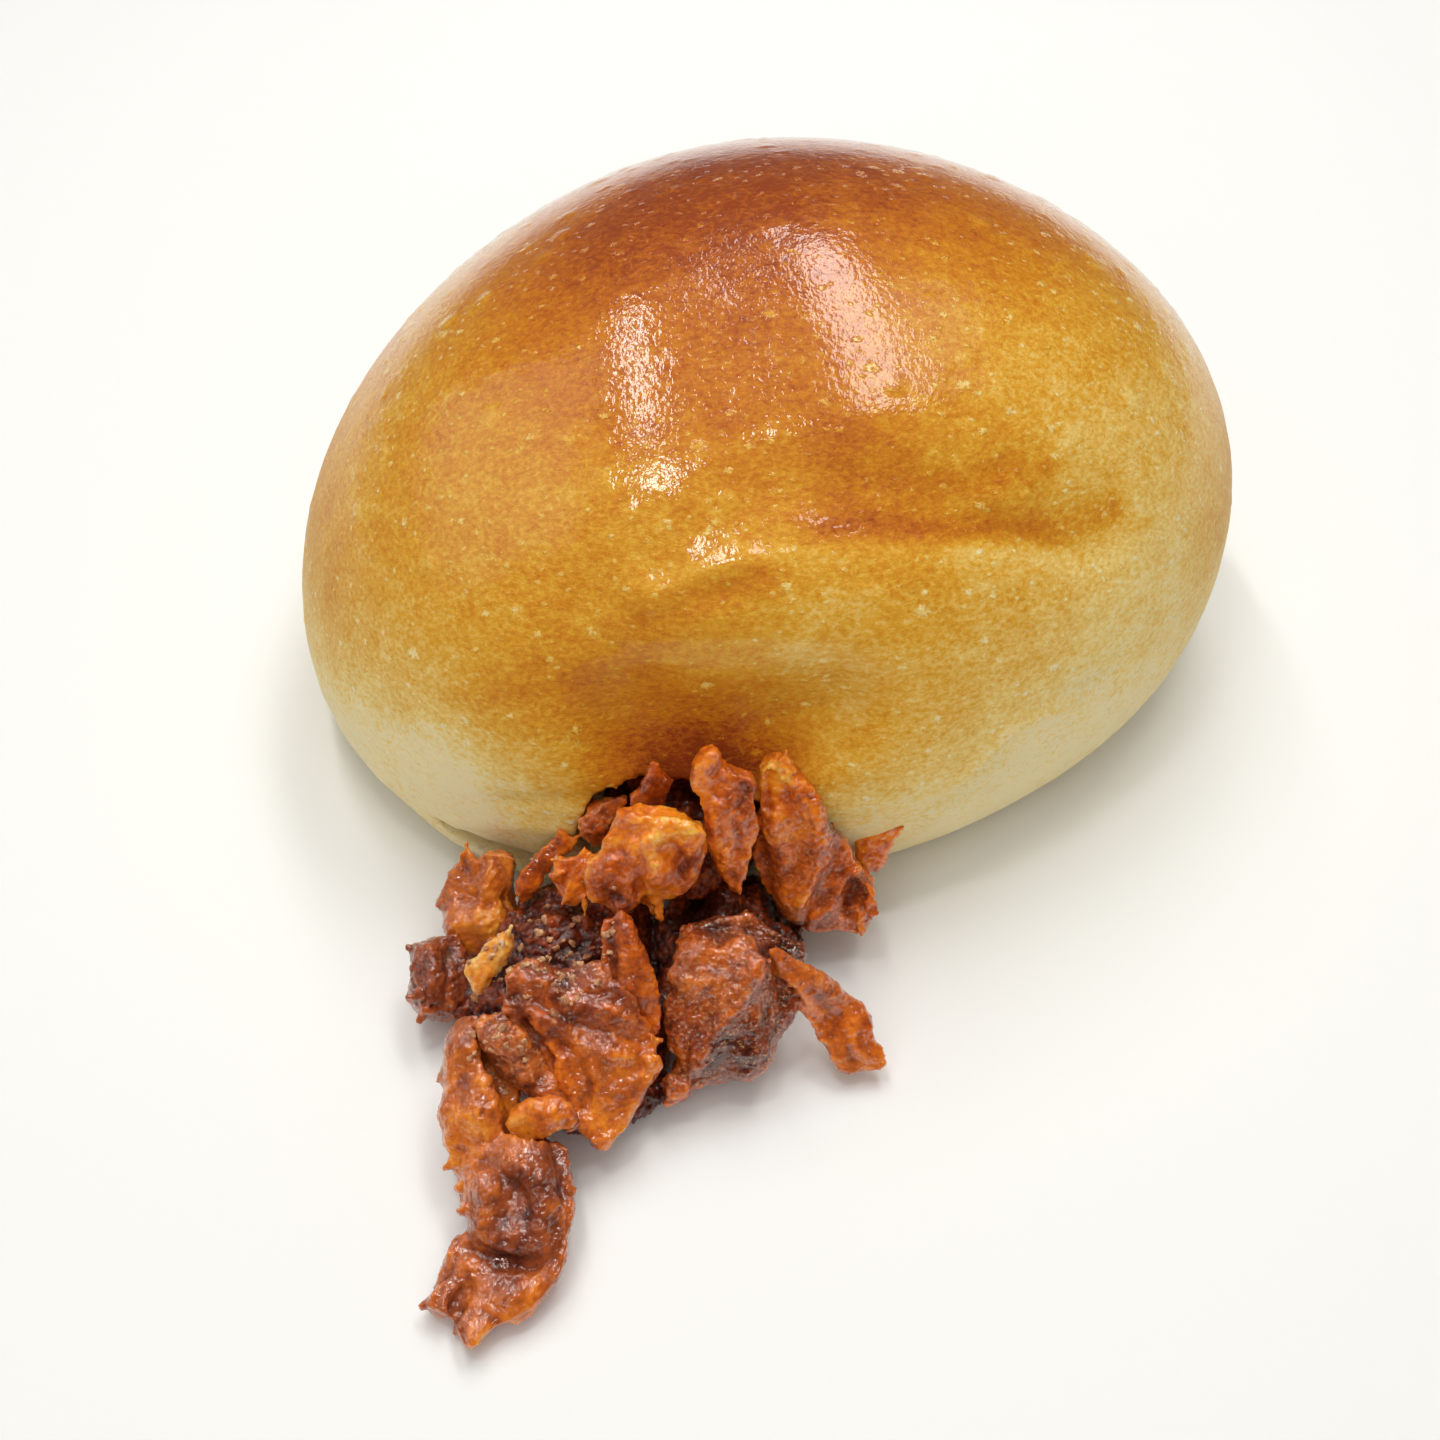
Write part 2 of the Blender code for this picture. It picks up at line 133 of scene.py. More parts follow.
# A blister's foot spreads to this many times its radius.
BLISTER_FOOT = 1.3

# ---- the colours, from dark to light or from pale to brown, with their places on the scale ---------
CRUST_BROWNS = (
    (0.0, (250, 232, 180)),
    (0.18, (246, 214, 126)),
    (0.42, (232, 172, 48)),
    (0.62, (216, 136, 20)),
    (0.82, (194, 102, 20)),
    (1.0, (154, 64, 14)),
)
GLAZED_BROWNS = (
    (0.0, (40, 12, 5)),
    (0.2, (88, 28, 10)),
    (0.4, (146, 58, 16)),
    (0.6, (204, 92, 16)),
    (0.75, (236, 124, 20)),
    (0.9, (252, 154, 30)),
    (1.0, (255, 190, 72)),
)
MAUVE_BROWNS = (
    (0.0, (50, 18, 10)),
    (0.2, (102, 44, 26)),
    (0.4, (154, 74, 36)),
    (0.6, (204, 106, 34)),
    (0.75, (230, 134, 36)),
    (0.9, (244, 170, 70)),
    (1.0, (250, 204, 120)),
)
CRUMB_COLOURS = ((0.35, (166, 98, 58)), (0.65, (230, 184, 136)))
FLECK_COLOUR = (226, 164, 112)
# The sauce makes all of the meat this much darker on its scale.
SAUCE_DARKENING = -0.015


# ---- tools -----------------------------------------------------------------------------------------
def mm(*values):
    return Vector(values) * MM


def radians(turn):
    return [math.radians(angle) for angle in turn]


def deselect_all():
    if bpy.context.object and bpy.context.object.mode != "OBJECT":
        bpy.ops.object.mode_set(mode="OBJECT")
    bpy.ops.object.select_all(action="DESELECT")


def pick(*things):
    deselect_all()
    for thing in things:
        thing.select_set(True)
    bpy.context.view_layer.objects.active = things[0]


def edit(piece, operator, **settings):
    """Runs an edit mode operator on the whole of a piece's mesh."""
    pick(piece)
    bpy.ops.object.mode_set(mode="EDIT")
    bpy.ops.mesh.select_all(action="SELECT")
    operator(**settings)
    bpy.ops.object.mode_set(mode="OBJECT")


def modify(piece, kind, **settings):
    """Adds a modifier with those settings and applies it."""
    step = piece.modifiers.new(kind.lower(), kind)
    for name, value in settings.items():
        setattr(step, name, value)
    pick(piece)
    bpy.ops.object.modifier_apply(modifier=step.name)


def copy_of(node, name):
    """A separate copy of a CAD node with its loose triangles merged."""
    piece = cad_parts[node].copy()
    piece.data = piece.data.copy()
    piece.name = piece.data.name = name
    for key in list(piece.keys()):
        del piece[key]
    piece.parent = None
    bpy.context.scene.collection.objects.link(piece)
    edit(piece, bpy.ops.mesh.remove_doubles, threshold=MERGE_DISTANCE * MM)
    piece.data.materials.clear()
    return piece


def join(piece, others):
    if others:
        pick(piece, *others)
        bpy.ops.object.join()


def remesh(piece, voxel):
    modify(piece, "REMESH", mode="VOXEL", voxel_size=voxel * MM, use_smooth_shade=True)


def relax(piece, times):
    modify(piece, "SMOOTH", iterations=times)


def carve(piece, facet):
    """Cuts the surface into flat faces whose area is about facet square millimetres."""
    area = sum(face.area for face in piece.data.polygons) / MM**2
    edit(piece, bpy.ops.mesh.quads_convert_to_tris)
    modify(piece, "DECIMATE", ratio=area / facet / len(piece.data.polygons))


def swell(piece, distance):
    modify(piece, "DISPLACE", mid_level=0, strength=distance * MM)


def grain(piece, texture, depth, stretch=1, turn=(0, 0, 0), middle=0.5, group=""):
    """Pushes the surface in and out by a texture, drawn out stretch times along its own height."""
    guide = bpy.data.objects.new("grain_guide", None)
    bpy.context.scene.collection.objects.link(guide)
    guide.scale = (MM, MM, stretch * MM)
    guide.rotation_euler = radians(turn)
    bpy.context.view_layer.update()
    modify(
        piece,
        "DISPLACE",
        texture=texture,
        texture_coords="OBJECT",
        texture_coords_object=guide,
        strength=depth * MM,
        mid_level=middle,
        vertex_group=group,
    )
    bpy.data.objects.remove(guide, do_unlink=True)


def clouds(name, size, depth=2, hard=False):
    texture = bpy.data.textures.new(name, "CLOUDS")
    texture.noise_scale = size
    texture.noise_depth = depth
    texture.noise_type = "HARD_NOISE" if hard else "SOFT_NOISE"
    return texture


def grit(name, size):
    texture = bpy.data.textures.new(name, "VORONOI")
    texture.noise_scale = size
    texture.distance_metric = "DISTANCE"
    return texture


def points_of(piece):
    """The mesh's points and normals, in millimetres."""
    count = len(piece.data.vertices)
    points = np.empty(count * 3, dtype=np.float32)
    normals = np.empty(count * 3, dtype=np.float32)
    piece.data.vertices.foreach_get("co", points)
    piece.data.vertices.foreach_get("normal", normals)
    return points.reshape(-1, 3) / MM, normals.reshape(-1, 3)


def move_points(piece, points):
    piece.data.vertices.foreach_set("co", (points * MM).astype(np.float32).ravel())
    piece.data.update()


def away_from_line(points, start, end):
    start, end = np.array(start, dtype=float), np.array(end, dtype=float)
    along = end - start
    share = np.clip((points - start) @ along / (along @ along), 0, 1)
    return np.linalg.norm(points - start - share[:, None] * along, axis=1)


def away_from_path(points, path):
    runs = [away_from_line(points, start, end) for start, end in zip(path, path[1:])]
    return np.min(runs, axis=0)


def nearness(points, middle, radius):
    """1 for a point at the middle, a third at the radius and nothing far outside it."""
    away = np.linalg.norm(points - np.array(middle), axis=1) / radius
    return np.exp(-(away**2))


def smooth_step(low, high, value):
    share = np.clip((value - low) / (high - low), 0, 1)
    return share * share * (3 - 2 * share)


def fold(piece, folds):
    """Raises or sinks the surface along each fold's path."""
    points, normals = points_of(piece)
    moved = np.zeros(len(points))
    for crease in folds:
        away = away_from_path(points, crease.path) / crease.width
        moved += crease.height * np.exp(-(away**1.5))
    move_points(piece, points + normals * moved[:, None])


def keep_value(piece, name, values):
    """Stores one number for each point, for the material to read."""
    held = piece.data.attributes.new(name, "FLOAT", "POINT")
    held.data.foreach_set("value", values.astype(np.float32))


def keep_space(piece, name, turn, stretch):
    """Stores each point's place in a space turned along the fibres and drawn out along them."""
    points, _ = points_of(piece)
    turned = Euler(radians(turn)).to_matrix().inverted()
    places = points @ np.array(turned).T * MM
    places[:, 2] /= stretch
    held = piece.data.attributes.new(name, "FLOAT_VECTOR", "POINT")
    held.data.foreach_set("vector", places.astype(np.float32).ravel())


def ridges_of(piece, rounds):
    """How far each point stands out of its surroundings smoothed in so many rounds, in millimetres."""
    points, normals = points_of(piece)
    ends = np.empty(len(piece.data.edges) * 2, dtype=np.int32)
    piece.data.edges.foreach_get("vertices", ends)
    one, other = ends.reshape(-1, 2).T
    here, there = np.concatenate((one, other)), np.concatenate((other, one))
    near = np.maximum(np.bincount(here, minlength=len(points)), 1)
    stay, follow = 0.3, 0.7
    smooth = points
    for _ in range(rounds):
        rows = [np.bincount(here, smooth[there, axis], len(points)) / near for axis in range(3)]
        smooth = stay * smooth + follow * np.stack(rows, axis=1)
    return np.sum((points - smooth) * normals, axis=1)


def finish_piece(piece, material, node=None):
    piece.data.materials.append(material)
    piece.data.shade_smooth()
    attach(piece, "root")
    if node:
        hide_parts(node)


# ---- materials -------------------------------------------------------------------------------------
def linear(level):
    share = level / 255
    return share / 12.92 if share <= 0.04045 else ((share + 0.055) / 1.055) ** 2.4


def rgb(red, green, blue):
    return (linear(red), linear(green), linear(blue), 1)


class Recipe:
    """A node material, built a step at a time. Sizes are in millimetres."""

    def __init__(self, name):
        self.material = bpy.data.materials.new(name)
        self.material.use_nodes = True
        self.tree = self.material.node_tree
        self.shader = self.tree.nodes["Principled BSDF"]
        self.where = self.node("TexCoord", {}).outputs["Object"]

    def put(self, socket, value):
        """Links an output to a socket, or sets it where the value is plain."""
        if isinstance(value, bpy.types.NodeSocket):
            self.tree.links.new(value, socket)
        else:
            socket.default_value = value

    def node(self, kind, inputs, **settings):
        """Adds a node with those settings, whose inputs are given by their names or numbers."""
        added = self.tree.nodes.new("ShaderNode" + kind)
        for name, value in settings.items():
            setattr(added, name, value)
        for key, value in inputs.items():
            self.put(added.inputs[key], value)
        return added

    def shade(self, inputs):
        """Gives the shader's sockets, by name, their plain values or their outputs."""
        for name, value in inputs.items():
            self.put(self.shader.inputs[name], value)

    def value(self, name, output="Fac"):
        """What keep_value or keep_space has stored for each point."""
        return self.node("Attribute", {}, attribute_name=name).outputs[output]

    def stretched(self, stretch):
        """A space drawn out along x, y and z."""
        inputs = {"Vector": self.where, "Scale": stretch}
        return self.node("Mapping", inputs, vector_type="TEXTURE").outputs["Vector"]

    def noise(self, size, detail=2.0, where=None, rough=0.5, warp=0.0):
        """Noise from 0 to 1 whose blobs are about that size."""
        inputs = {"Scale": 1 / (size * MM), "Detail": detail, "Roughness": rough, "Distortion": warp}
        return self.node("TexNoise", {"Vector": where or self.where, **inputs}).outputs["Fac"]

    def swing(self, strength, size, detail=2.0, where=None, warp=0.0):
        """Noise round 0, whose whole range is the strength."""
        return self.product(self.sum(self.noise(size, detail, where, warp=warp), -0.5), strength)

    def seams(self, size):
        """How far a place is from the edges of uneven cells of about that size."""
        inputs = {"Vector": self.where, "Scale": 1 / (size * MM)}
        return self.node("TexVoronoi", inputs, feature="DISTANCE_TO_EDGE").outputs["Distance"]

    def dots(self, size, radius, where, ragged):
        """Uneven dots, one in most cells of that size: radius is part of the size."""
        left_out = 0.4
        edge = 0.02
        tear = 2.2 * radius
        heart = 0.4 * radius
        dot = self.node("TexVoronoi", {"Vector": where, "Scale": 1 / (size * MM)})
        away = self.sum(dot.outputs["Distance"], self.product(ragged, tear))
        chosen = self.span(dot.outputs["Color"], left_out - edge, left_out + edge)
        return self.product(self.span(away, radius, heart), chosen)

    def sum(self, *operands):
        return self.chain("ADD", operands)

    def product(self, *operands):
        return self.chain("MULTIPLY", operands)

    def chain(self, operation, operands):
        total = operands[0]
        for operand in operands[1:]:
            total = self.node("Math", {0: total, 1: operand}, operation=operation).outputs[0]
        return total

    def span(self, value, low, high, to_low=0.0, to_high=1.0):
        """Eases the stretch of a value from low to high into the one from to_low to to_high."""
        inputs = {"Value": value, "From Min": low, "From Max": high, "To Min": to_low, "To Max": to_high}
        return self.node("MapRange", inputs, interpolation_type="SMOOTHSTEP").outputs["Result"]

    def ramp(self, value, stops):
        node = self.node("ValToRGB", {"Fac": value})
        elements = node.color_ramp.elements
        while len(elements) < len(stops):
            elements.new(0.5)
        for element, (place, colour) in zip(elements, stops):
            element.position = place
            element.color = rgb(*colour)
        return node.outputs["Color"]

    def mix(self, share, one, other):
        inputs = {"Factor": share, "A": one, "B": other}
        return self.node("Mix", inputs, data_type="RGBA").outputs["Result"]

    def bump(self, height, depth, below=None):
        """Relief that is depth millimetres high where the height is 1, on top of what is below."""
        inputs = {"Height": height, "Strength": 1, "Distance": depth * MM}
        if below:
            inputs["Normal"] = below
        return self.node("Bump", inputs).outputs["Normal"]


def crust_material():
    """Pale to deep brown by how browned it is, and darker over the mouth by painted shade, with light
    specks and dots, under an uneven egg glaze.
    """
    made = Recipe("baked_crust")
    brown = made.value("brown_and_shade")
    speck = made.noise(0.5, detail=4, where=made.stretched((1.4, 1.2, 0.8)), rough=0.75)
    wide = made.stretched((1.3, 1.1, 0.8))
    ragged = made.sum(made.noise(0.35), -0.5)
    small_dots = made.dots(1.2, 0.22, wide, ragged)
    big_dots = made.sum(made.dots(5, 0.13, wide, ragged), made.dots(2.4, 0.17, wide, ragged))
    # What makes the crust browner or paler, and by how much.
    mottled = made.sum(
        brown,
        made.swing(0.25, size=11, detail=3),
        made.swing(0.28, size=2.2, detail=3, where=made.stretched((1.5, 1.2, 0.8))),
        made.product(made.sum(speck, -0.5), 0.9),
        made.product(made.value("blister"), -0.12),
        made.product(small_dots, -0.2),
        made.product(big_dots, -0.28),
    )
    leather = made.bump(made.seams(0.9), depth=0.02)
    domes = made.bump(made.sum(small_dots, big_dots), depth=0.06, below=leather)
    streaks = made.noise(0.5, where=made.stretched((1, 1.5, 1.9)))
    made.shade({
        "Base Color": made.ramp(mottled, CRUST_BROWNS),
        "Roughness": made.span(brown, 0.2, 0.8, to_low=0.55, to_high=0.36),
        "Specular IOR Level": 0.25,
        "Normal": made.bump(speck, depth=0.22, below=domes),
        "Coat Weight": made.value("glaze"),
        "Coat Roughness": 0.06,
        "Coat IOR": 1.55,
        "Coat Normal": made.bump(streaks, depth=0.055, below=domes),
        "Subsurface Weight": 0.1,
        "Subsurface Radius": (1.0, 0.5, 0.25),
        "Subsurface Scale": 1.5 * MM,
    })
    return made.material


def meat_material(name, gloss=1.0):
    """Dark sauce to golden fat by the warmth, with crumbly flecks, under a wet glaze."""
    made = Recipe(name)
    along = made.value("fibre_space", "Vector")
    crumbly = made.value("crumbly")
    # What makes the meat warmer or darker, and by how much: among it, painted light where the meat stands
    # out and painted shade in its hollows.
    warmth = made.sum(
        made.value("warmth"),
        SAUCE_DARKENING,
        made.swing(0.75, size=3.6, warp=1.0),
        made.swing(0.45, size=0.9, detail=3, where=along),
        made.swing(0.25, size=0.35, detail=3),
        # Painted light on the ridges and crests, painted shade in the grooves and hollows.
        made.product(made.value("ridge"), 0.05),
        made.product(made.value("crest"), 0.07),
    )
    mauve = made.span(made.sum(made.value("mauve"), made.swing(1.6, size=4.5)), 0.0, 1.0)
    flesh = made.mix(mauve, made.ramp(warmth, GLAZED_BROWNS), made.ramp(warmth, MAUVE_BROWNS))
    flecks = made.span(made.noise(0.35, detail=3, where=along, rough=0.6), 0.52, 0.68)
    crumbs = made.span(made.sum(crumbly, made.noise(2.4)), 0.85, 1.15)
    rough = made.product(made.noise(0.6, detail=3, where=along, rough=0.6), made.sum(crumbly, 0.3))
    zones = made.span(made.noise(2.2), 0.4, 0.6, to_low=0.5)
    drops = made.product(made.noise(0.8, warp=0.6), zones)
    made.shade({
        "Base Color": made.mix(made.product(flecks, crumbs, 0.6), flesh, rgb(*FLECK_COLOUR)),
        "Roughness": 0.4,
        "Specular IOR Level": 0.3,
        "Normal": made.bump(rough, depth=0.2),
        "Coat Weight": gloss,
        "Coat Roughness": 0.05,
        "Coat IOR": 1.75,
        "Coat Normal": made.bump(drops, depth=0.45),
        "Subsurface Weight": 0.3,
        "Subsurface Radius": (1.0, 0.3, 0.12),
        "Subsurface Scale": 0.8 * MM,
    })
    return made.material


def crumb_material():
    made = Recipe("pale_crumb")
    made.shade({
        "Base Color": made.ramp(made.noise(0.9), CRUMB_COLOURS),
        "Roughness": 0.35,
        "Normal": made.bump(made.noise(0.15), depth=0.05),
        "Coat Weight": 0.7,
        "Coat Roughness": 0.1,
        "Subsurface Weight": 0.2,
        "Subsurface Scale": 0.3 * MM,
    })
    return made.material


# ---- the bun ---------------------------------------------------------------------------------------
def pull(piece, pulls):
    """Draws the surface round each pull's middle along."""
    points, _ = points_of(piece)
    for tug in pulls:
        points = points + np.array(tug.shift) * nearness(points, tug.middle, tug.radius)[:, None]
    move_points(piece, points)


def climb(rise, height):
    return rise.amount * smooth_step(rise.low, rise.high, height)


def crust_brown_and_shade(points):
    """How brown the crust is at each point, with the painted shade over the mouth: 0 is pale dough and 1
    is dark brown.
    """
    height = points[:, 2]
    brown = FOOT_BROWN + climb(BELLY_RISE, height) + climb(CROWN_RISE, height)
    for patch in BROWN_PATCHES:
        brown += patch.strength * nearness(points, patch.middle, patch.radius)
    for line in BROWN_LINES:
        away = away_from_path(points, line.path) / line.width
        brown += line.height * np.exp(-(away**2))
    return np.clip(brown, 0, BROWNEST)


def make_bun():
    bun = copy_of("bun", "bun_crust")
    remesh(bun, CRUST_VOXEL)
    relax(bun, CRUST_SMOOTHING)
    pull(bun, CRUST_PULLS)
    relax(bun, LIP_SMOOTHING)
    fold(bun, CRUST_FOLDS)
    blister = raise_blisters(bun)
    points, _ = points_of(bun)
    keep_value(bun, "brown_and_shade", crust_brown_and_shade(points))
    keep_value(bun, "blister", blister)
    keep_value(bun, "glaze", FOOT_GLAZE + climb(GLAZE_RISE, points[:, 2]))
    finish_piece(bun, crust_material(), "bun")


def raise_blisters(bun):
    """Small round blisters in the skin. Gives how far each point is inside one, from 0 to 1."""
    points, normals = points_of(bun)
    tree = kdtree.KDTree(len(points))
    for index, point in enumerate(points):
        tree.insert(point, index)
    tree.balance()
    draw = random.Random(5)
    raised = np.zeros(len(points))
    lifted = np.zeros(len(points))
    for kind in BLISTERS:
        for _ in range(kind.count):
            turn = draw.uniform(0, 2 * math.pi)
            reach = BLISTER_REACH * math.sqrt(draw.uniform(0, 1))
            height = draw.uniform(*BLISTER_HEIGHTS)
            middle, _, _ = tree.find(Vector((reach * math.cos(turn), reach * math.sin(turn), height)))
            foot = draw.uniform(kind.small, kind.large) * BLISTER_FOOT
            strength = draw.uniform(*BLISTER_STRENGTHS)
            for _, index, away in tree.find_range(middle, foot):
                share = strength * (1 - (away / foot) ** 2)
                raised[index] = max(raised[index], share)
                lifted[index] = max(lifted[index], share * kind.height)
    move_points(bun, points + normals * lifted[:, None])
    return raised


# ---- the pork --------------------------------------------------------------------------------------
# A sheet is a torn, flat part of a piece. Its outline runs in a plane that is tipped up by pitch degrees,
# as millimetres across and up from its middle.
Sheet = namedtuple("Sheet", "middle pitch thick outline")

SHEETS = {
    "peak_chunk": (
        Sheet((-3, -52.5, 18), 68, 2.2, (
            (-1.5, 7), (-0.5, 7.5), (0, 6.5), (0, 5.5), (2.5, 4.5), (3, 4), (3, -1), (1.5, -6.5),
            (1, -6.5), (0, -4.5), (-0.5, -2.5), (-1.5, -1.5), (-1.5, 0.5), (-3, 4), (-2.5, 4.5),
        )),
    ),
    "right_chunk": (
        Sheet((4, -50.5, 12), 72, 3, (
            (-4, 8.5), (-3, 9.5), (-2, 10), (-1.5, 9), (-0.5, 8), (5, 0), (5.5, -2), (7, -4), (6.5, -5),
            (7, -7.5), (6, -9), (4.5, -8.5), (3.5, -7.5), (2.5, -8.5), (1.5, -9), (0, -8), (-3.5, -3.5),
            (-4.5, 0), (-4, 2), (-4, 3.5), (-3.5, 4.5), (-4, 6.5),
        )),
    ),
    "side_fin": (
        Sheet((12.5, -48, 8.5), 60, 0.9, (
            (-3, 1.5), (1, 3.5), (2, 2.5), (1.5, 1.5), (0.5, 0.5), (-0.5, 0), (-0.5, -1.5), (-1.5, -2),
            (-3, -0.5),
        )),
    ),
    "fatty_chunk": (
        Sheet((-8, -55, 16.5), 72, 2.4, (
            (-4.5, 4.5), (-3.5, 4), (-2.5, 4.5), (-1, 3.5), (0.5, 3), (1.5, 3.5), (3, 3), (3.5, 0.5),
            (2, -3.5), (1, -3.5), (-1, -5.5), (-1, -7), (-2, -5.5), (-3, -1), (-4, 1.5),
        )),
        Sheet((-12.5, -56.5, 14), 66, 2.2, (
            (0, 7), (0.5, 5), (2, 4), (2, -0.5), (1.5, -2.5), (0.5, -3), (0, -4), (-0.5, -3),
            (-2.5, -1), (-2.5, 2.5), (-1.5, 3.5),
        )),
    ),
    "back_fin": (
        Sheet((-9.5, -49, 18), 80, 0.9, (
            (0, 3.5), (1, 3), (1, 2.5), (2, 1), (1, -2.5), (-0.5, -2.5), (-2, -2), (-2, -0.5),
            (-1, 0.5), (0, 2.5),
        )),
    ),
    "back_lump": (
        Sheet((-15, -49, 13.5), 75, 1.6, (
            (0, 2), (1, 3), (2.5, 3.5), (3.5, 3), (3, 2), (2, 1), (1.5, 0), (1.5, -1.5), (0.5, -2),
            (-1, -1.5), (-1.5, -0.5),
        )),
    ),
    "leaning_flake": (
        Sheet((-20, -51.5, 10.5), 45, 0.9, (
            (2, 4), (2.5, 3), (3.5, 3), (3.5, 1.5), (1.5, 0.5), (-1, -1.5), (-2, -3.5), (-2.5, -2),
            (-2, -0.5), (-1, 0), (1.5, 3),
        )),
    ),
    "torn_flake": (
        Sheet((-16, -54.5, 12.5), 60, 1.1, (
            (-2.5, 2.5), (-1.5, 2), (-0.5, 2), (0.5, 3), (1, 2.5), (1.5, 0), (1, -1.5), (0.5, -2),
            (-1, -2.5), (-2.5, 0), (-2, 1.5),
        )),
    ),
    "left_chunk": (
        Sheet((-26, -52.5, 5.5), 48, 2.6, (
            (-1.5, 5.5), (-0.5, 4.5), (1.5, 5.5), (2.5, 5.5), (3.5, 5), (4, 4), (3.5, 3), (3.5, 0.5),
            (4, -1), (2, -3), (-1, -4), (-1.5, -3), (-2.5, -2.5), (-3, -1), (-4, 0.5), (-2.5, 3.5),
            (-1.5, 4.5),
        )),
    ),
    "dark_chunk": (
        Sheet((-29, -60, 4), 30, 1.8, (
            (-2.5, 3.5), (-1.5, 3.5), (1, 4.5), (2, 4.5), (2.5, 3), (2.5, -1.5), (1.5, -2), (0.5, -3.5),
            (-0.5, -3.5), (-1.5, -3), (-2, -2), (-1.5, -0.5), (-2, 0.5), (-2, 1.5), (-2.5, 2.5),
        )),
    ),
    "fat_flake": (
        Sheet((-23.5, -62.5, 10.5), 40, 0.9, (
            (-2.5, 0), (-1.5, 0.5), (-0.5, 0.5), (0.5, 1.5), (1.5, 2), (2, 3), (2, 2), (1.5, 1), (2, 0),
            (1.5, -0.5), (1, -2), (-0.5, -3), (-1, -3), (-2, -2), (-2.5, -1),
        )),
    ),
    "upright_wedge": (
        Sheet((-11, -64, 11.5), 46, 1.2, (
            (-2.5, 4.5), (0, 5), (1, 1.5), (2, 0), (2.5, -1.5), (2.5, -5), (2, -6), (0.5, -6), (-1, -5),
            (-3, -2), (-3, -0.5), (-2.5, 0.5),
        )),
    ),
    "slab": (
        Sheet((-14.5, -70, 7.5), 32, 2, (
            (-7, 6.5), (-6.5, 7.5), (-5.5, 8), (1, 5.5), (2, 4.5), (3.5, 4), (5, 3), (6, 0.5),
            (5.5, -1), (6, -1.5), (5, -2.5), (4.5, -4), (2.5, -7), (1.5, -8), (0.5, -7.5), (-2.5, -2.5),
            (-5.5, 0.5), (-6.5, 2.5), (-7.5, 3.5),
        )),
    ),
    "crumbly_chunk": (
        Sheet((-21, -70.5, 8), 32, 1.6, (
            (-3.5, 2.5), (-2.5, 3.5), (-1, 3.5), (0.5, 2.5), (3, -0.5), (5, -4), (5.5, -5.5), (5, -6),
            (3, -5.5), (0.5, -3), (-1, -2), (-3, 0.5),
        )),
    ),
    "folded_flap": (
        Sheet((-18.5, -75.5, 7), 30, 0.9, (
            (-2.5, -0.5), (-1.5, 0.5), (-0.5, 1), (3, -0.5), (3, -1), (1.5, -1.5), (1, -2),
            (-0.5, -2.5), (-2, -2.5), (-3, -3), (-2.5, -2),
        )),
    ),
    "long_strip": (
        Sheet((-24, -72, 6), 22, 1.8, (
            (-2.5, 3.5), (-1, 5.5), (0.5, 4.5), (4, -1), (4, -2.5), (3, -3.5), (3, -5.5), (-1, -10.5),
            (-1, -8.5), (-2, -7), (-1.5, -6), (-2.5, -5), (-2, -4), (-2.5, -1), (-3.5, 0.5),
        )),
        Sheet((-20.5, -81.5, 4), 12, 1.6, (
            (-4.5, 1), (-3, 3), (-0.5, 4), (1.5, 4), (3.5, 4.5), (4.5, 3.5), (4.5, 2), (5, 0.5),
            (5, -2), (4.5, -3.5), (4.5, -5.5), (3.5, -8.5), (1, -10.5), (-0.5, -10.5), (-1.5, -11.5),
            (-2.5, -12), (-3.5, -10.5), (-2.5, -8), (-2.5, -7), (-3.5, -7.5), (-4.5, -9), (-4, -10),
            (-6.5, -9), (-6.5, -8.5), (-5, -7), (-3.5, -4.5), (-3.5, -2), (-4.5, -1.5), (-4, 0),
        )),
    ),
    "big_chunk": (
        Sheet((-2.5, -64, 7), 40, 3, (
            (-3.5, 6.5), (-1, 7.5), (0.5, 7.5), (1.5, 8), (2.5, 7), (7, 4.5), (6.5, 2), (6, 1),
            (6, -0.5), (5.5, -2), (2, -7), (1, -7), (0.5, -6.5), (-1.5, -7), (-4.5, -9), (-5.5, -9),
            (-5.5, -8), (-4.5, -4.5), (-5.5, -2), (-5, -0.5), (-5, 1.5),
        )),
    ),
    "hanging_strip": (
        Sheet((4.5, -63, 8.5), 60, 1.2, (
            (-4, 2), (-3, 2.5), (-2, 1.5), (0, 1), (0.5, 0), (1.5, -1), (1, -5), (0, -3), (-1, -2),
            (-2, -1.5), (-3.5, 0.5),
        )),
        Sheet((9, -65, 4), 45, 1.8, (
            (-4, 2), (-3.5, 3.5), (-2, 4), (-1, 1.5), (0, 1), (2.5, -1.5), (2.5, -3), (2, -3.5),
            (0.5, -4), (-1, -4), (-2, -3), (-2.5, -1.5), (-3.5, -0.5),
        )),
    ),
}

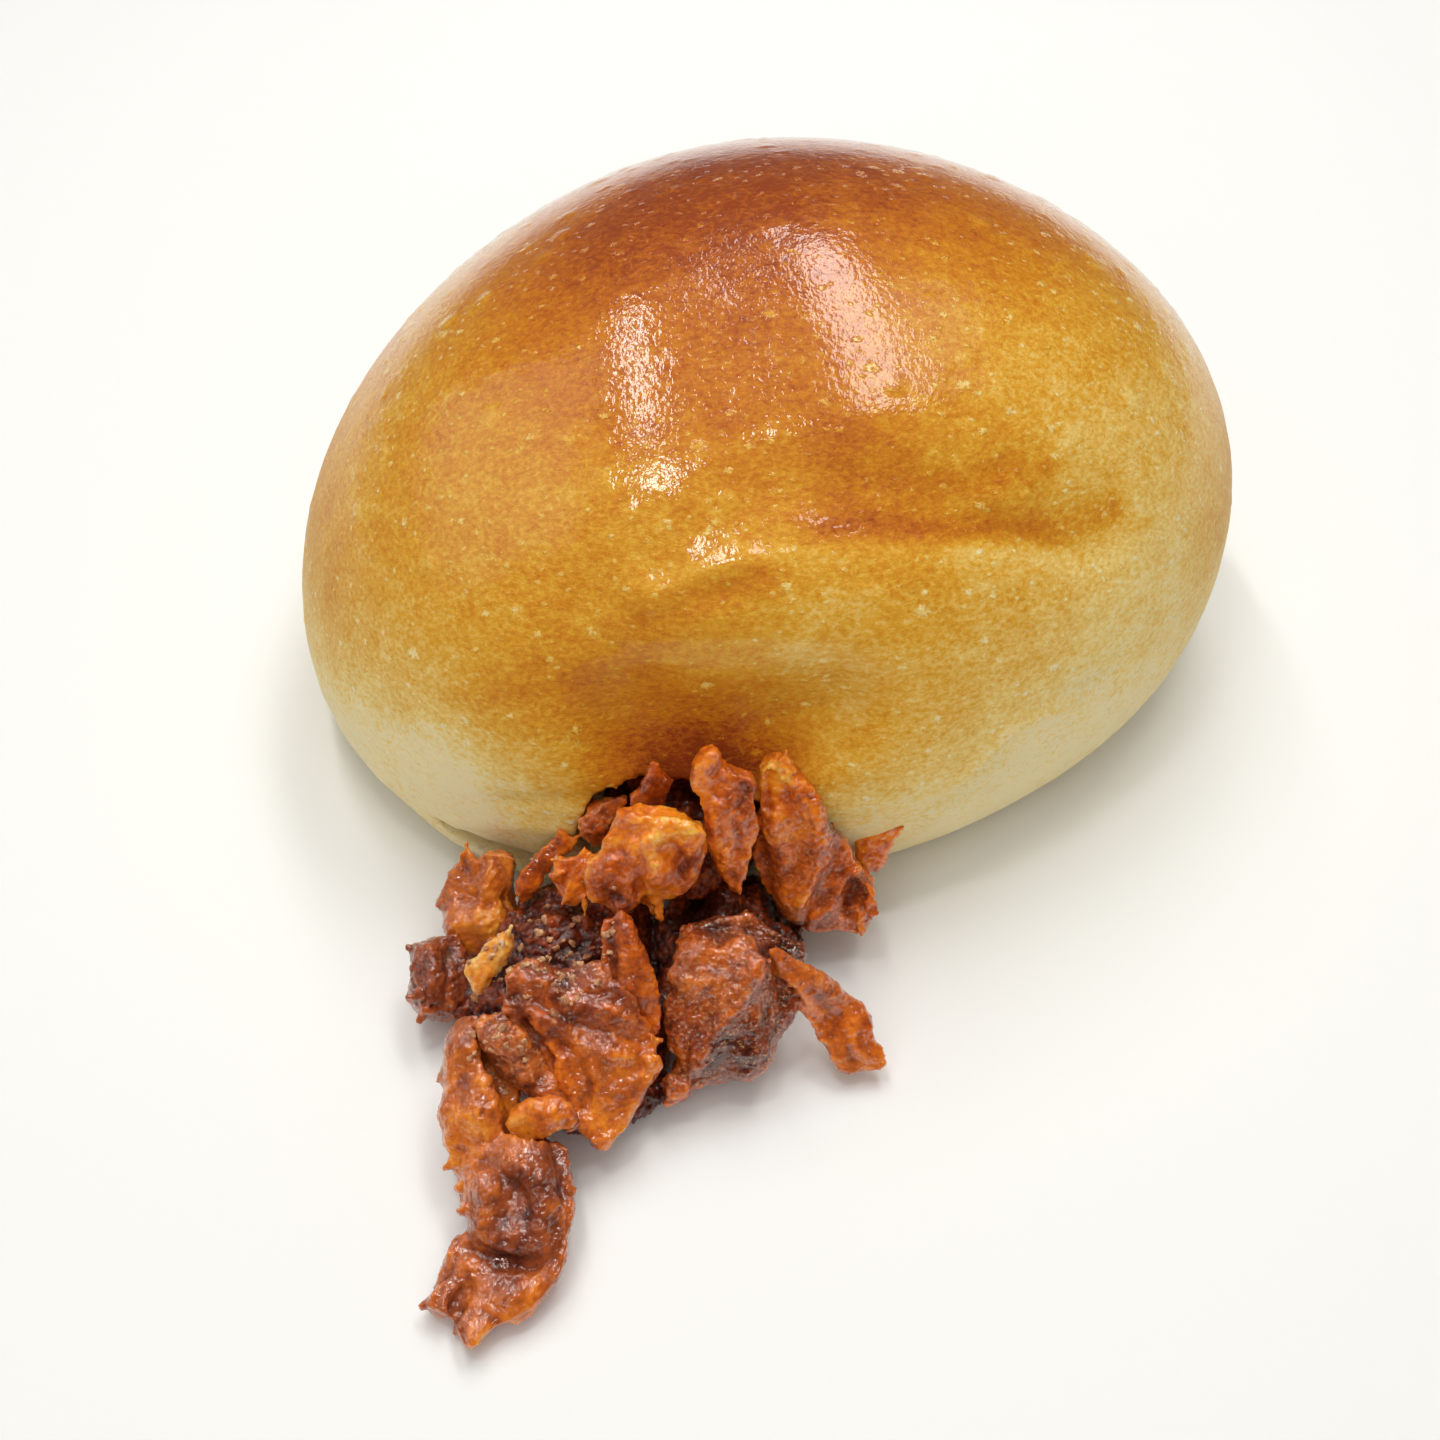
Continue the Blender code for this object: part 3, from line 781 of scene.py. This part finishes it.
# How warm the meat is in colour (0 is dark wine brown, 0.6 orange brown and 1 golden fat), how mauve its
# browns are, and how thickly pale crumbs are stuck in it.
Look = namedtuple("Look", "warmth mauve crumbly")
LOOKS = {
    "peak_chunk": Look(0.6, 0.1, 0.4),
    "right_chunk": Look(0.56, 0.15, 0.5),
    "side_fin": Look(0.64, 0.0, 0.1),
    "fatty_chunk": Look(0.74, 0.15, 0.35),
    "back_fin": Look(0.5, 0.0, 0.1),
    "back_lump": Look(0.5, 0.4, 0.55),
    "leaning_flake": Look(0.56, 0.0, 0.2),
    "torn_flake": Look(0.66, 0.2, 0.3),
    "left_chunk": Look(0.52, 1.0, 0.2),
    "dark_chunk": Look(0.32, 1.0, 0.2),
    "fat_flake": Look(0.86, 0.7, 0.1),
    "upright_wedge": Look(0.54, 0.2, 0.3),
    "slab": Look(0.5, 0.6, 0.4),
    "crumbly_chunk": Look(0.42, 0.9, 0.65),
    "folded_flap": Look(0.66, 0.6, 0.2),
    "long_strip": Look(0.5, 0.9, 0.25),
    "big_chunk": Look(0.44, 0.5, 0.62),
    "hanging_strip": Look(0.58, 0.5, 0.3),
    # The mince lies in the hollow under the bun's lip and in the gaps between pieces: its very dark tone
    # is partly its own colour and partly painted shade.
    "minced_filling": Look(0.2, 0.1, 0.2),
}
# Where a piece is warmer than the rest of it, or darker where the strength is negative.
TONES = {
    "peak_chunk": (
        Patch((-4, -51.3, 24.3), 2.0, 0.1),
        Patch((-1, -53, 22), 2.0, -0.15),
        Patch((-4.4, -52, 20), 1.5, 0.1),
    ),
    "right_chunk": (
        Patch((1.5, -49, 20.3), 1.8, 0.45),
        Patch((3.5, -51.5, 17), 2.5, 0.12),
        Patch((8, -50, 15), 2.0, -0.4),
        Patch((9.7, -52.5, 8.5), 1.5, -0.15),
        Patch((6.5, -54.8, 7), 2.0, -0.15),
    ),
    "fatty_chunk": (
        Patch((-7.5, -55.2, 20.6), 2.2, 0.02),
        Patch((-8.8, -57, 18.5), 1.6, 0.14),
        Patch((-12.5, -57, 16), 2.6, -0.2),
        Patch((-12, -58.5, 14), 1.6, -0.25),
        Patch((-5.6, -57, 17.5), 1.6, -0.4),
        Patch((-7.5, -58, 16), 1.6, -0.15),
        Patch((-9, -58.5, 12), 2.0, -0.2),
    ),
    "left_chunk": (Patch((-24.3, -55.6, 7.7), 3.0, 0.25), Patch((-27.4, -53.2, 8), 2.5, -0.06)),
    "upright_wedge": (Patch((-11.8, -62.2, 15), 1.5, -0.2),),
    "slab": (
        Patch((-16.4, -71, 8.4), 2.5, 0.12),
        Patch((-13, -75.2, 5.8), 3.0, 0.14),
        Patch((-10.4, -71.6, 7.5), 2.0, 0.08),
        Patch((-16, -67, 12), 4.0, -0.12),
        Patch((-11.7, -69, 10.7), 2.0, -0.1),
    ),
    "long_strip": (
        Patch((-24, -76, 8), 4.5, 0.12),
        Patch((-24.5, -80, 6), 3.0, 0.1),
        Patch((-18.7, -80.6, 7.5), 2.5, -0.14),
        Patch((-20, -84, 5), 4.0, -0.13),
        Patch((-20, -87, 3.5), 2.0, -0.12),
        Patch((-17, -83, 6), 2.5, -0.14),
        Patch((-22.7, -91, 2), 2.0, 0.12),
    ),
    "big_chunk": (
        Patch((-2.6, -65, 12), 3.0, 0.2),
        Patch((-6, -67, 9), 2.5, 0.04),
        Patch((1.5, -67, 8), 4.0, -0.16),
        Patch((-2.5, -70, 6.5), 3.0, -0.16),
        # Painted shade: the back of the chunk is darker where it tucks under the pieces above.
        Patch((3.5, -60.5, 12), 4.0, -0.3),
        Patch((-4, -61, 13), 2.0, -0.2),
    ),
    "hanging_strip": (Patch((10, -66, 3), 3.5, -0.08), Patch((3, -64, 10.6), 2.0, 0.05)),
}
# How the fibres, which run straight up in their own space, are turned about x, y and z.
USUAL_TURN = (45, 0, 0)
FIBRE_TURNS = {
    "long_strip": (78, 0, -8),
    "slab": (60, 0, 25),
    "big_chunk": (45, 0, 10),
    "hanging_strip": (30, 40, 0),
    "upright_wedge": (45, 10, 0),
}

# The sharp ridges and creases in the pieces of pork.
FOLDS = {
    "peak_chunk": (
        Fold(((-1.5, -51.5, 23), (-1, -52.5, 21), (-2, -54, 19.5), (-1.5, -54.5, 16.5)), 0.6, -0.7),
        Fold(((-4.5, -51.5, 23), (-4, -53, 21), (-3.5, -54, 18.5), (-2.5, -55, 15.5)), 0.9, 0.5),
        Fold(((-5, -51.5, 23), (-4, -51.5, 23), (-3, -51.5, 23.5)), 0.5, -0.35),
    ),
    "right_chunk": (
        Fold(((1.5, -48.5, 21.5), (1, -50, 19.5), (1, -50.5, 17.5)), 0.5, -1.2),
        Fold(((2.5, -47.5, 21), (2, -49.5, 20), (1, -50.5, 17.5)), 0.5, 0.6),
        Fold(((3, -48.5, 20.5), (5, -50.5, 18), (5.5, -51.5, 15.5), (5.5, -52.5, 12.5),
              (4, -54.5, 9)), 1, 0.9),
        Fold(((9, -52.5, 11), (8, -53.5, 10), (7, -54, 8), (5.5, -54.5, 7)), 0.5, 0.8),
        Fold(((9.5, -53, 9.5), (9, -54, 7)), 1, -1.4),
        Fold(((9, -52.5, 11), (10.5, -53, 9), (11, -54, 7), (10, -54, 5.5)), 0.5, 0.7),
        Fold(((7, -49.5, 14.5), (7.5, -51.5, 13), (7, -53, 11.5)), 0.7, -0.7),
    ),
    "big_chunk": (
        Fold(((0, -64, 12.5), (-2, -66.5, 10), (-4.5, -69, 7.5), (-7, -71, 4)), 1.1, 1.1),
        Fold(((-6, -60, 11.5), (-7, -64, 12), (-7.5, -66, 8.5), (-7, -68, 6)), 0.8, 0.8),
        Fold(((-3.5, -62, 12.5), (-5, -66, 9.5), (-6, -69, 6.5)), 0.8, -0.6),
        Fold(((2, -64, 10.5), (0.5, -67.5, 8.5), (-1, -70, 5.5)), 0.9, -0.4),
    ),
    "slab": (
        Fold(((-19, -67.5, 11.5), (-15.5, -69, 10.5), (-11.5, -69.5, 9.5), (-9, -69.5, 9)), 0.5, -0.6),
        Fold(((-20, -68.5, 9.5), (-17, -70, 10), (-15.5, -71, 8.5), (-14.5, -73, 7.5),
              (-14.5, -74.5, 6.5)), 0.6, -0.7),
        Fold(((-19.5, -68, 11), (-16.5, -69.5, 10.5), (-14.5, -71, 9.5), (-9, -71, 8)), 0.5, 0.7),
        Fold(((-21.5, -65, 11.5), (-19, -65.5, 12), (-16, -67.5, 11.5), (-13, -68, 11),
              (-9.5, -68.5, 9.5)), 0.7, 0.7),
    ),
    "fatty_chunk": (
        Fold(((-11.5, -54.5, 20.5), (-9, -55, 20.5), (-6.5, -55.5, 20.5), (-4.5, -55.5, 19)), 0.5, 0.7),
        Fold(((-10.5, -55.5, 20.5), (-8.5, -56, 20.5), (-6.5, -56.5, 20)), 0.5, -0.4),
        Fold(((-10, -57, 19.5), (-9, -57.5, 18), (-8.5, -58, 16)), 0.5, 0.5),
        Fold(((-7.5, -57, 19), (-6.5, -57, 17.5), (-6, -57.5, 16.5)), 0.8, -1.2),
        Fold(((-12, -54.5, 21), (-10.5, -56.5, 20), (-10, -57.5, 18), (-10.5, -58, 14.5)), 0.5, -0.9),
    ),
    "left_chunk": (
        Fold(((-24.5, -50, 9.5), (-25, -53, 9), (-25.5, -54.5, 7.5), (-24, -56, 5.5)), 0.8, 0.8),
        Fold(((-27, -54, 8.5), (-25, -54, 8), (-22.5, -52, 7)), 0.6, -0.8),
    ),
    "fat_flake": (
        Fold(((-22, -61.5, 12), (-23, -63, 11), (-24.5, -64.5, 9.5)), 0.5, 0.5),
    ),
    "dark_chunk": (
        Fold(((-29.5, -58.5, 7.5), (-29, -61, 6.5), (-29, -63.5, 5.5)), 0.8, 0.8),
        Fold(((-28, -58.5, 7), (-27.5, -61.5, 6.5), (-28, -63.5, 5.5)), 0.7, -0.8),
    ),
    "long_strip": (
        Fold(((-24.5, -70.5, 9.5), (-23.5, -74, 8.5), (-23.5, -77, 7.5), (-24, -79.5, 6.5)), 1.2, 0.6),
        Fold(((-25, -78.5, 6), (-21.5, -80.5, 7), (-19.5, -83, 6.5), (-19, -85.5, 6)), 0.7, -0.9),
        Fold(((-22.5, -81, 6), (-22, -83.5, 6), (-22.5, -84.5, 4.5)), 1, 0.8),
        Fold(((-20, -80, 7), (-17.5, -82, 7), (-16.5, -84, 4), (-17, -87.5, 3.5)), 0.9, 0.7),
        Fold(((-23.5, -86, 4), (-21.5, -87, 4), (-18.5, -87.5, 3.5), (-16.5, -87, 3.5)), 0.7, -0.9),
    ),
    "upright_wedge": (
        Fold(((-12, -61, 15.5), (-10.5, -63.5, 13.5), (-8.5, -66, 10)), 0.5, 0.4),
        Fold(((-12.5, -62, 14.5), (-12.5, -64, 12.5), (-12.5, -65.5, 10.5)), 0.6, -0.4),
    ),
    "crumbly_chunk": (
        Fold(((-23.5, -69, 10), (-21, -71.5, 10), (-18.5, -73.5, 7), (-16, -75.5, 6)), 0.7, 0.8),
    ),
    "folded_flap": (
        Fold(((-20.5, -76.5, 7), (-19, -75.5, 8), (-15.5, -76, 7)), 0.5, 0.6),
    ),
    "hanging_strip": (
        Fold(((1, -62.5, 10.5), (3.5, -64, 9.5), (5.5, -65, 6.5), (8, -66.5, 4),
              (10, -67.5, 3)), 0.6, 0.5),
        Fold(((5.5, -64.5, 8), (7.5, -65.5, 5), (8.5, -67.5, 3)), 0.5, -0.5),
    ),
}

# A spike is a tapering tooth or thread of meat. Its radius is given at the root, and the tip has this
# share of it.
Spike = namedtuple("Spike", "root tip radius")
SPIKE_POINT = 0.3
SPIKE_SIDES = 8
SPIKES = {
    "minced_filling": (
        Spike((-7.5, -53.5, 2.5), (-7, -52.5, 7), 2.6),
        Spike((-12.5, -51, 2.5), (-8.5, -51, 3), 2.4),
        Spike((-22, -61.5, 3), (-27.5, -62.5, 3), 3.2),
    ),
    "peak_chunk": (
        Spike((-1.5, -55, 14.5), (-1.5, -56, 13), 0.55),
        Spike((-1.5, -56, 13), (-1.5, -57, 11.5), 0.3),
    ),
    "right_chunk": (
        Spike((9.5, -54, 7), (10, -55, 4.5), 0.8),
        Spike((10, -53.5, 8), (11, -54.5, 7), 0.7),
        Spike((5.5, -54, 7), (5, -54.5, 4.5), 0.7),
        Spike((2, -48.5, 20.5), (2.5, -48, 22.5), 0.6),
    ),
    "big_chunk": (
        Spike((-7, -70.5, 4), (-8, -72, 2.5), 0.9),
    ),
    "slab": (
        Spike((-9.5, -69.5, 9), (-8, -69, 8), 0.6),
        Spike((-9.5, -71, 8), (-8, -71.5, 7.5), 0.6),
        Spike((-10, -72, 7.5), (-9, -72.5, 7), 0.5),
    ),
    "fatty_chunk": (
        Spike((-12, -58.5, 14), (-12, -59.5, 11), 0.7),
        Spike((-9, -57.5, 13.5), (-8.5, -59, 11.5), 0.8),
        Spike((-13.5, -57.5, 14), (-14.5, -58, 13), 0.5),
    ),
    "torn_flake": (
        Spike((-17.5, -55, 13.5), (-18.5, -54, 15), 0.6),
        Spike((-16.5, -55.5, 12.5), (-17.5, -56.5, 11), 0.6),
        Spike((-17.5, -55, 13), (-19, -55, 13.5), 0.5),
        Spike((-15.5, -56, 12), (-15.5, -57.5, 10.5), 0.5),
    ),
    "leaning_flake": (
        Spike((-17.5, -50, 12), (-18, -48.5, 13.5), 0.6),
        Spike((-17, -50, 12), (-16, -49.5, 13), 0.5),
    ),
    "left_chunk": (
        Spike((-26, -51, 9), (-27, -49, 11), 0.6),
        Spike((-28, -53, 7), (-30, -52.5, 7), 0.6),
        Spike((-27.5, -54.5, 7), (-29, -55, 6.5), 0.6),
    ),
    "fat_flake": (
        Spike((-22.5, -62.5, 11.5), (-21.5, -60.5, 13.5), 0.6),
    ),
    "dark_chunk": (
        Spike((-30.5, -58.5, 6), (-32, -57.5, 6.5), 0.8),
        Spike((-30, -60.5, 6.5), (-31.5, -60, 6), 0.7),
        Spike((-30, -62.5, 6), (-31.5, -63, 6), 0.7),
        Spike((-29.5, -63.5, 5), (-30.5, -64.5, 4), 0.7),
    ),
    "long_strip": (
        Spike((-26, -72.5, 7.5), (-27.5, -72, 6.5), 0.7),
        Spike((-26, -75, 7), (-27, -75, 6.5), 0.6),
        Spike((-25.5, -76.5, 6), (-26.5, -76.5, 6), 0.6),
        Spike((-25.5, -78.5, 4.5), (-26.5, -79, 4), 0.6),
        Spike((-24.5, -81, 4.5), (-25.5, -80.5, 3.5), 0.6),
        Spike((-24, -83, 4.5), (-25, -83.5, 4.5), 0.6),
        Spike((-16.5, -79, 5), (-15.5, -79, 5), 0.5),
        Spike((-16, -81.5, 5), (-15, -81.5, 5), 0.6),
        Spike((-24, -90.5, 1.5), (-24.5, -92, 0.5), 0.6),
        Spike((-23, -92, 2), (-23.5, -93, 1), 0.7),
        Spike((-26, -89.5, 2), (-27.5, -90, 1.5), 0.7),
    ),
}

# Pale crumbs of fat and crust cling to these places.
Crumbs = namedtuple("Crumbs", "middle radius count")
CRUMBS = (
    Crumbs((-17, -59, 8.5), 4.5, 36),
    Crumbs((-19, -64, 9.0), 3.0, 20),
    Crumbs((-22, -71, 8.5), 3.0, 18),
    Crumbs((-16, -65.5, 11.5), 3.0, 12),
    Crumbs((-13.2, -62.5, 13.0), 1.4, 8),
    Crumbs((-8, -51, 16), 2.0, 10),
    Crumbs((-24, -62, 6), 1.8, 12),
)
# The crumbs' radii, stretches and turns, how wide they spread as a share of their place's radius, and how
# knobbly they are.
CRUMB_SIZES = (0.12, 0.34)
CRUMB_STRETCHES = (0.5, 1.6)
CRUMB_TURNS = (0, 6.3)  # radians
CRUMB_SPREAD = 0.5
CRUMB_KNOBS = 0.5
# A crumb falls from this high above the middle of its place.
CRUMB_FALL = Vector((0, 0, 12))

# How a piece is cut: the voxels it is made of, how far its lumps stand out, the area of its flat facets,
# and how deep its fibres, its granules and the tears in its rims are.
Cut = namedtuple("Cut", "voxel lump facet fibre granule tear")
CHUNK = Cut(0.15, 1.5, 0.8, 0.12, 0.06, 0.7)
SCRAP = Cut(0.15, 1.0, 0.6, 0.12, 0.06, 0.6)
MINCE = Cut(0.25, 2.2, 0.7, 0.5, 0.4, 1.2)

# Torn sheets are joined to the solid shrunk to this share, and the whole is remade with this voxel.
CORE_SHARE = 0.93
CLAY_VOXEL = 0.19
# How thick the sauce makes the surface, and how much deeper its granules are where crumbs cling.
SAUCE = 0.06
CRUMBLE = 0.1

# The sizes of the reliefs' textures, how far those along the fibres are drawn out, and the brightness
# at which they leave the surface where it is.
LUMPS = clouds("meat_lumps", 3.4, 1)
FIBRES = clouds("meat_fibres", 0.45, 2, hard=True)
GRANULES = grit("meat_granules", 0.55)
TEARS = clouds("meat_tears", 0.9, 2, hard=True)
FIBRE_STRETCH = 3.0
TEAR_STRETCH = 2
LUMP_MIDDLE = 0.55
HARD_MIDDLE = 0.15

# A relief is found by smoothing in so many rounds, and counts in full from this height on: the fine
# ridges and the broad crests, which give the meat painted light where it stands out and painted shade in
# its hollows, and the rims that tear.
Relief = namedtuple("Relief", "rounds height")
RIDGES = Relief(14, 0.08)
CRESTS = Relief(80, 0.3)
RIMS = Relief(40, 0.16)
RIM_LEVELS = 10


def make_sheet(sheet):
    """Draws the outline as a flat face, thickens it and tips it up into its place."""
    deselect_all()
    bpy.ops.mesh.primitive_circle_add(vertices=len(sheet.outline), fill_type="NGON")
    made = bpy.context.object
    for corner, (across, up) in zip(made.data.vertices, sheet.outline):
        corner.co = (across, up, -sheet.thick / 2)
    edit(made, bpy.ops.mesh.extrude_region_move, TRANSFORM_OT_translate={"value": (0, 0, sheet.thick)})
    edit(made, bpy.ops.mesh.quads_convert_to_tris)
    edit(made, bpy.ops.mesh.normals_make_consistent, inside=False)
    tip = Matrix.Translation(mm(*sheet.middle)) @ Matrix.Rotation(math.radians(sheet.pitch), 4, "X")
    made.data.transform(tip @ Matrix.Scale(MM, 4))
    return made


def make_spike(spike):
    root, tip = Vector(spike.root), Vector(spike.tip)
    run = tip - root
    deselect_all()
    bpy.ops.mesh.primitive_cone_add(
        vertices=SPIKE_SIDES,
        radius1=spike.radius * MM,
        radius2=SPIKE_POINT * spike.radius * MM,
        depth=run.length * MM,
        location=(root + tip) / 2 * MM,
        rotation=run.to_track_quat("Z", "Y").to_euler(),
    )
    return bpy.context.object


def shrink_core(piece, share):
    points, _ = points_of(piece)
    middle = points.mean(axis=0)
    move_points(piece, middle + (points - middle) * share)


def mark_rims(piece):
    """A vertex group that is strong along the edges of the meat and weak on its flat faces."""
    group = piece.vertex_groups.new(name="rims")
    share = np.clip(ridges_of(piece, RIMS.rounds) / RIMS.height, 1 / RIM_LEVELS, 1)
    levels = np.round(share * RIM_LEVELS).astype(int)
    for level in range(1, RIM_LEVELS + 1):
        group.add(np.flatnonzero(levels == level).tolist(), level / RIM_LEVELS, "REPLACE")


def keep_looks(piece, node, turn):
    """Stores what the meat's material reads."""
    look = LOOKS[node]
    points, _ = points_of(piece)
    warmth = np.full(len(points), look.warmth)
    for tone in TONES.get(node, ()):
        warmth += tone.strength * nearness(points, tone.middle, tone.radius)
    keep_value(piece, "warmth", warmth)
    # The ridges and crests, for the painted light and shade in the meat's colour.
    for name, relief in (("ridge", RIDGES), ("crest", CRESTS)):
        keep_value(piece, name, np.clip(ridges_of(piece, relief.rounds) / relief.height, -1, 1))
    keep_value(piece, "mauve", np.full(len(points), look.mauve))
    keep_value(piece, "crumbly", np.full(len(points), look.crumbly))
    keep_space(piece, "fibre_space", turn, FIBRE_STRETCH)


def make_meat(node, material, cut):
    piece = copy_of(node, node + "_meat")
    turn = FIBRE_TURNS.get(node, USUAL_TURN)
    if node in SHEETS:
        shrink_core(piece, CORE_SHARE)
        join(piece, [make_sheet(sheet) for sheet in SHEETS[node]])
    remesh(piece, CLAY_VOXEL)
    relax(piece, 1)
    grain(piece, LUMPS, cut.lump, middle=LUMP_MIDDLE)
    carve(piece, cut.facet)
    join(piece, [make_spike(spike) for spike in SPIKES.get(node, ())])
    remesh(piece, cut.voxel)
    fold(piece, FOLDS.get(node, ()))
    mark_rims(piece)
    grain(piece, TEARS, -cut.tear, TEAR_STRETCH, turn, HARD_MIDDLE, group="rims")
    remesh(piece, cut.voxel)
    relax(piece, 1)
    swell(piece, SAUCE)
    grain(piece, FIBRES, -cut.fibre, FIBRE_STRETCH, turn, HARD_MIDDLE)
    grain(piece, GRANULES, cut.granule + CRUMBLE * LOOKS[node].crumbly)
    keep_looks(piece, node, turn)
    finish_piece(piece, material, node)
    return piece


def land(pieces, start):
    """The highest point of any piece straight below start, or None."""
    best = None
    for piece in pieces:
        hit, place, _, _ = piece.ray_cast(start, Vector((0, 0, -1)))
        if hit and (best is None or place.z > best.z):
            best = place
    return best


def make_crumbs(pieces):
    """Little pale crumbs that lie on the meat, as seen from above."""
    draw = random.Random(11)
    deselect_all()
    bpy.ops.mesh.primitive_ico_sphere_add(subdivisions=3, radius=MM)
    model = bpy.context.object
    crumbs = []
    for place in CRUMBS:
        for _ in range(place.count):
            aside = Vector((draw.gauss(0, CRUMB_SPREAD), draw.gauss(0, CRUMB_SPREAD), 0))
            start = Vector(place.middle) + CRUMB_FALL + aside * place.radius
            landing = land(pieces, start * MM)
            if landing is None:
                continue
            crumb = model.copy()
            crumb.data = model.data.copy()
            size = draw.uniform(*CRUMB_SIZES)
            crumb.scale = [size * draw.uniform(*CRUMB_STRETCHES) for _ in range(3)]
            crumb.rotation_euler = [draw.uniform(*CRUMB_TURNS) for _ in range(3)]
            crumb.location = landing
            bpy.context.scene.collection.objects.link(crumb)
            crumbs.append(crumb)
    bpy.data.objects.remove(model, do_unlink=True)
    joined = crumbs[0]
    join(joined, crumbs[1:])
    joined.name = "pale_crumbs"
    pick(joined)
    bpy.ops.object.transform_apply(location=True, rotation=True, scale=True)
    grain(joined, clouds("crumb_knobs", 0.35, 1), CRUMB_KNOBS)
    finish_piece(joined, crumb_material())


def make_pork():
    glazed = meat_material("glazed_pork")
    brown = meat_material("brown_pork")
    golden = meat_material("pork_fat")
    sauce = meat_material("minced_pork", gloss=0.5)
    lean_chunks = ("peak_chunk", "right_chunk", "big_chunk", "slab")
    lean_scraps = ("back_fin", "side_fin", "torn_flake", "leaning_flake", "upright_wedge",
                   "hanging_strip", "folded_flap")
    brown_chunks = ("back_lump", "long_strip", "crumbly_chunk", "left_chunk", "dark_chunk")
    fat_chunks = ("fatty_chunk", "fat_flake")
    pieces = []
    for slot, material, cut, nodes in (
        ("glazed_pork", glazed, CHUNK, lean_chunks),
        ("glazed_pork", glazed, SCRAP, lean_scraps),
        ("brown_pork", brown, CHUNK, brown_chunks),
        ("pork_fat", golden, CHUNK, fat_chunks),
        ("minced_pork", sauce, MINCE, ("minced_filling",)),
    ):
        pieces += [make_meat(node, material, cut) for node in nodes]
    make_crumbs(pieces)


# ---- the studio ------------------------------------------------------------------------------------
FLOOR_SIZE = 4000
FLOOR_DROP = 0.02
FLOOR_COLOUR = (0.91, 0.93, 0.93, 1)
WORLD_COLOUR = (1, 0.985, 0.96, 1)
WORLD_STRENGTH = 0.18
LAMP_COLOUR = (1, 0.97, 0.93)


def make_floor():
    deselect_all()
    bpy.ops.mesh.primitive_plane_add(size=FLOOR_SIZE * MM, location=(0, 0, -FLOOR_DROP * MM))
    floor = bpy.context.object
    floor.name = "floor"
    paper = Recipe("floor_paper")
    paper.shade({"Base Color": FLOOR_COLOUR, "Roughness": 0.6})
    floor.data.materials.append(paper.material)


def make_world():
    """An even, faint light all round, which doesn't show in the shine."""
    world = bpy.data.worlds.new("studio")
    world.use_nodes = True
    background = world.node_tree.nodes["Background"]
    background.inputs["Color"].default_value = WORLD_COLOUR
    background.inputs["Strength"].default_value = WORLD_STRENGTH
    world.cycles_visibility.glossy = False
    bpy.context.scene.world = world


def add_lamp(name, place, sides, watts, turn=0, target=None):
    """A rectangle of light that shines straight down, or at its target."""
    light = bpy.data.lights.new(name, "AREA")
    light.shape = "RECTANGLE"
    light.size = sides[0] * MM
    light.size_y = sides[1] * MM
    light.energy = watts
    light.color = LAMP_COLOUR
    lamp = bpy.data.objects.new(name, light)
    lamp.location = mm(*place)
    tilt = Quaternion()
    if target:
        tilt = (mm(*place) - mm(*target)).to_track_quat("Z", "Y")
    lamp.rotation_mode = "QUATERNION"
    lamp.rotation_quaternion = tilt @ Quaternion((0, 0, 1), math.radians(turn))
    bpy.context.scene.collection.objects.link(lamp)
    return lamp


def make_lamps():
    # Panels over the bun, which its crust shows as highlights.
    add_lamp("left_panel", (-145, 215, 500), (45, 380), 0.7, turn=13)
    add_lamp("right_panel", (85, 250, 500), (115, 500), 1.2, turn=20)
    add_lamp("near_panel", (-85, -75, 500), (85, 60), 0.27)
    add_lamp("right_haze", (240, 230, 500), (160, 320), 0.12)
    # A pale wall on the left is only seen in the shine.
    left_wall = add_lamp("left_wall", (-440, 80, 400), (560, 420), 0.5, target=(0, -20, 30))
    left_wall.visible_diffuse = False
    # The soft light from the ceiling and from in front is too wide to be seen in the shine.
    ceiling = add_lamp("ceiling", (0, -20, 2500), (2900, 2900), 21)
    front_fill = add_lamp("front_fill", (-60, -520, 350), (600, 400), 0.95, target=(0, -40, 10))
    ceiling.visible_glossy = False
    front_fill.visible_glossy = False


def make_camera():
    lens = bpy.data.cameras.new("camera")
    lens.sensor_width = SENSOR_WIDTH
    lens.lens = SENSOR_WIDTH / 2 / math.tan(math.radians(CAMERA_FIELD / 2))
    lens.clip_start = 10 * MM
    camera = bpy.data.objects.new("camera", lens)
    pitch = math.radians(CAMERA_PITCH)
    back = Vector((0, -math.cos(pitch), math.sin(pitch))) * CAMERA_DISTANCE
    camera.location = (CAMERA_TARGET + back) * MM
    camera.rotation_euler = Euler((math.pi / 2 - pitch, 0, 0))
    bpy.context.scene.collection.objects.link(camera)
    bpy.context.scene.camera = camera


bpy.context.scene.view_settings.view_transform = "Standard"
make_camera()
make_floor()
make_world()
make_lamps()
make_bun()
make_pork()
